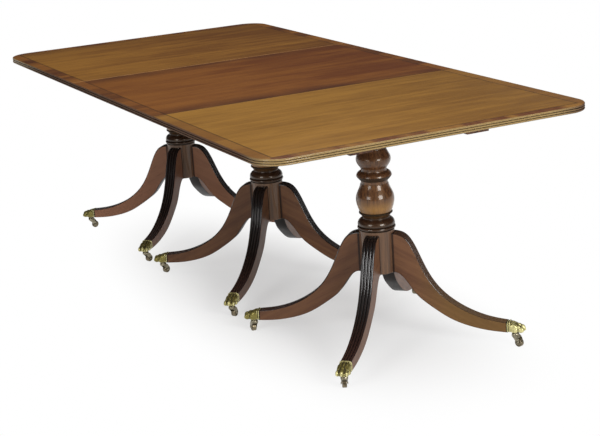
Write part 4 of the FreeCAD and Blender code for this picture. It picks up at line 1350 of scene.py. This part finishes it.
def on_cross_axis(shell, trail, axle):
    """A turning whose axis is laid from Z to Y, and moved to the axle."""
    x, y, z = shell[0].T
    return np.stack([x + trail, z, axle - y], axis=-1), shell[1]


def mirrored(shell):
    """The same shell on the other side of the caster."""
    return shell[0] * (1, -1, 1), shell[1]


def horn_shell(trail, axle):
    """Bell, two cheeks and two rivet heads, in mm, swivelling about the Z axis and trailing along X."""
    head = lathe(np.array(AXLE_HEAD) + (0, CHEEK_OUTER), HEAD_STEPS)
    head = on_cross_axis(head, trail, axle)
    side = cheek(trail, axle)
    return joined([lathe(np.array(BELL), BELL_STEPS), side, mirrored(side), head, mirrored(head)])


def wheel_shell(trail, axle):
    """A turned wheel on its axle: boss, dished side, rim, and a tread that is rounded at both edges."""
    tread = bow(WHEEL_SIDE[-1], (axle, TREAD_HALF), -TREAD_ROUND, TREAD_POINTS)[1:]
    half = np.concatenate([WHEEL_SIDE, tread])
    profile = np.concatenate([half, half[::-1] * (1, -1)])
    return on_cross_axis(lathe(profile, WHEEL_STEPS), trail, axle)


sample_horn, sample_wheel = horn_shell(*SAMPLE_CASTER), wheel_shell(*SAMPLE_CASTER)
print("horn", len(sample_horn[1]), "faces, wheel", len(sample_wheel[1]), "faces")

# %% Hang the casters
horn_brass = brass_finish(
    "horn_brass", tone(168, 160, 138), tone(84, 78, 60), tone(24, 20, 14), polish=0.26, metal=0.9)
wheel_brass = brass_finish(
    "wheel_brass", tone(150, 138, 114), tone(84, 75, 58), tone(36, 30, 22), polish=0.30, metal=0.9)
shapes = {"horn": (horn_shell, horn_brass), "wheel": (wheel_shell, wheel_brass)}
joints = {joint["name"]: joint for joint in frame["joints"]}
for section in SECTIONS:
    for corner in CORNER_TURNS:
        swivel = joints[section + "_swivel_" + corner]["pos_m"]
        spin = joints[section + "_spin_" + corner]["pos_m"]
        away = np.array(spin) - swivel
        trail = math.hypot(away[0], away[1])
        turn = math.degrees(math.atan2(away[1], away[0]))
        for kind, (shape, brass) in shapes.items():
            points, faces = shape(trail / MM, spin[2] / MM)
            points = placed(points * MM, turn, swivel[0], swivel[1])
            make_piece(section + "_caster_" + kind + "_" + corner, "cast", (points, faces), brass)
print("twelve casters")

# %% [markdown]
# ## Joinery under the tops
# Bearers, blocks, pivot pins, screws, leg plates and turn buttons are plain sawn or forged work, and their
# CAD meshes already have the right shape. They only change their finish, through the material slots of
# their objects.


# %% Stain, iron and steel
def metal_finish(name, light, dark, polish):
    """Plain metal with a faint cloudiness and fine scratches."""
    finish = Finish(name)
    place = finish.place()
    cloud = finish.noise(place, 60.0, detail=4.0)
    scratches = finish.noise(place, (900.0, 40.0, 900.0), detail=2.0)
    finish.shade(Base_Color=finish.blend(finish.ease(cloud, 0.35, 0.65), dark, light), Metallic=1.0,
                 Roughness=polish + cloud * 0.2, Normal=finish.bump(scratches * 0.5 + cloud, 0.0001))
    return finish


bearer_stain = plain_finish("bearer_stain", tone(62, 38, 26), tone(104, 68, 44), along_table=True)
iron = metal_finish("forged_iron", tone(70, 66, 62), tone(38, 34, 32), 0.5)
steel = metal_finish("screw_steel", tone(170, 166, 158), tone(120, 114, 106), 0.3)
plain_work = {
    "bearers": bearer_stain, "block": bearer_stain, "top_fixings": steel,
    "leg_plate": iron, "turn_button": horn_brass,
}
for section in SECTIONS:
    for part, finish in plain_work.items():
        for material_slot in frame["nodes"][section + "_" + part].material_slots:
            material_slot.material = finish.material
print("plain work:", ", ".join(plain_work))
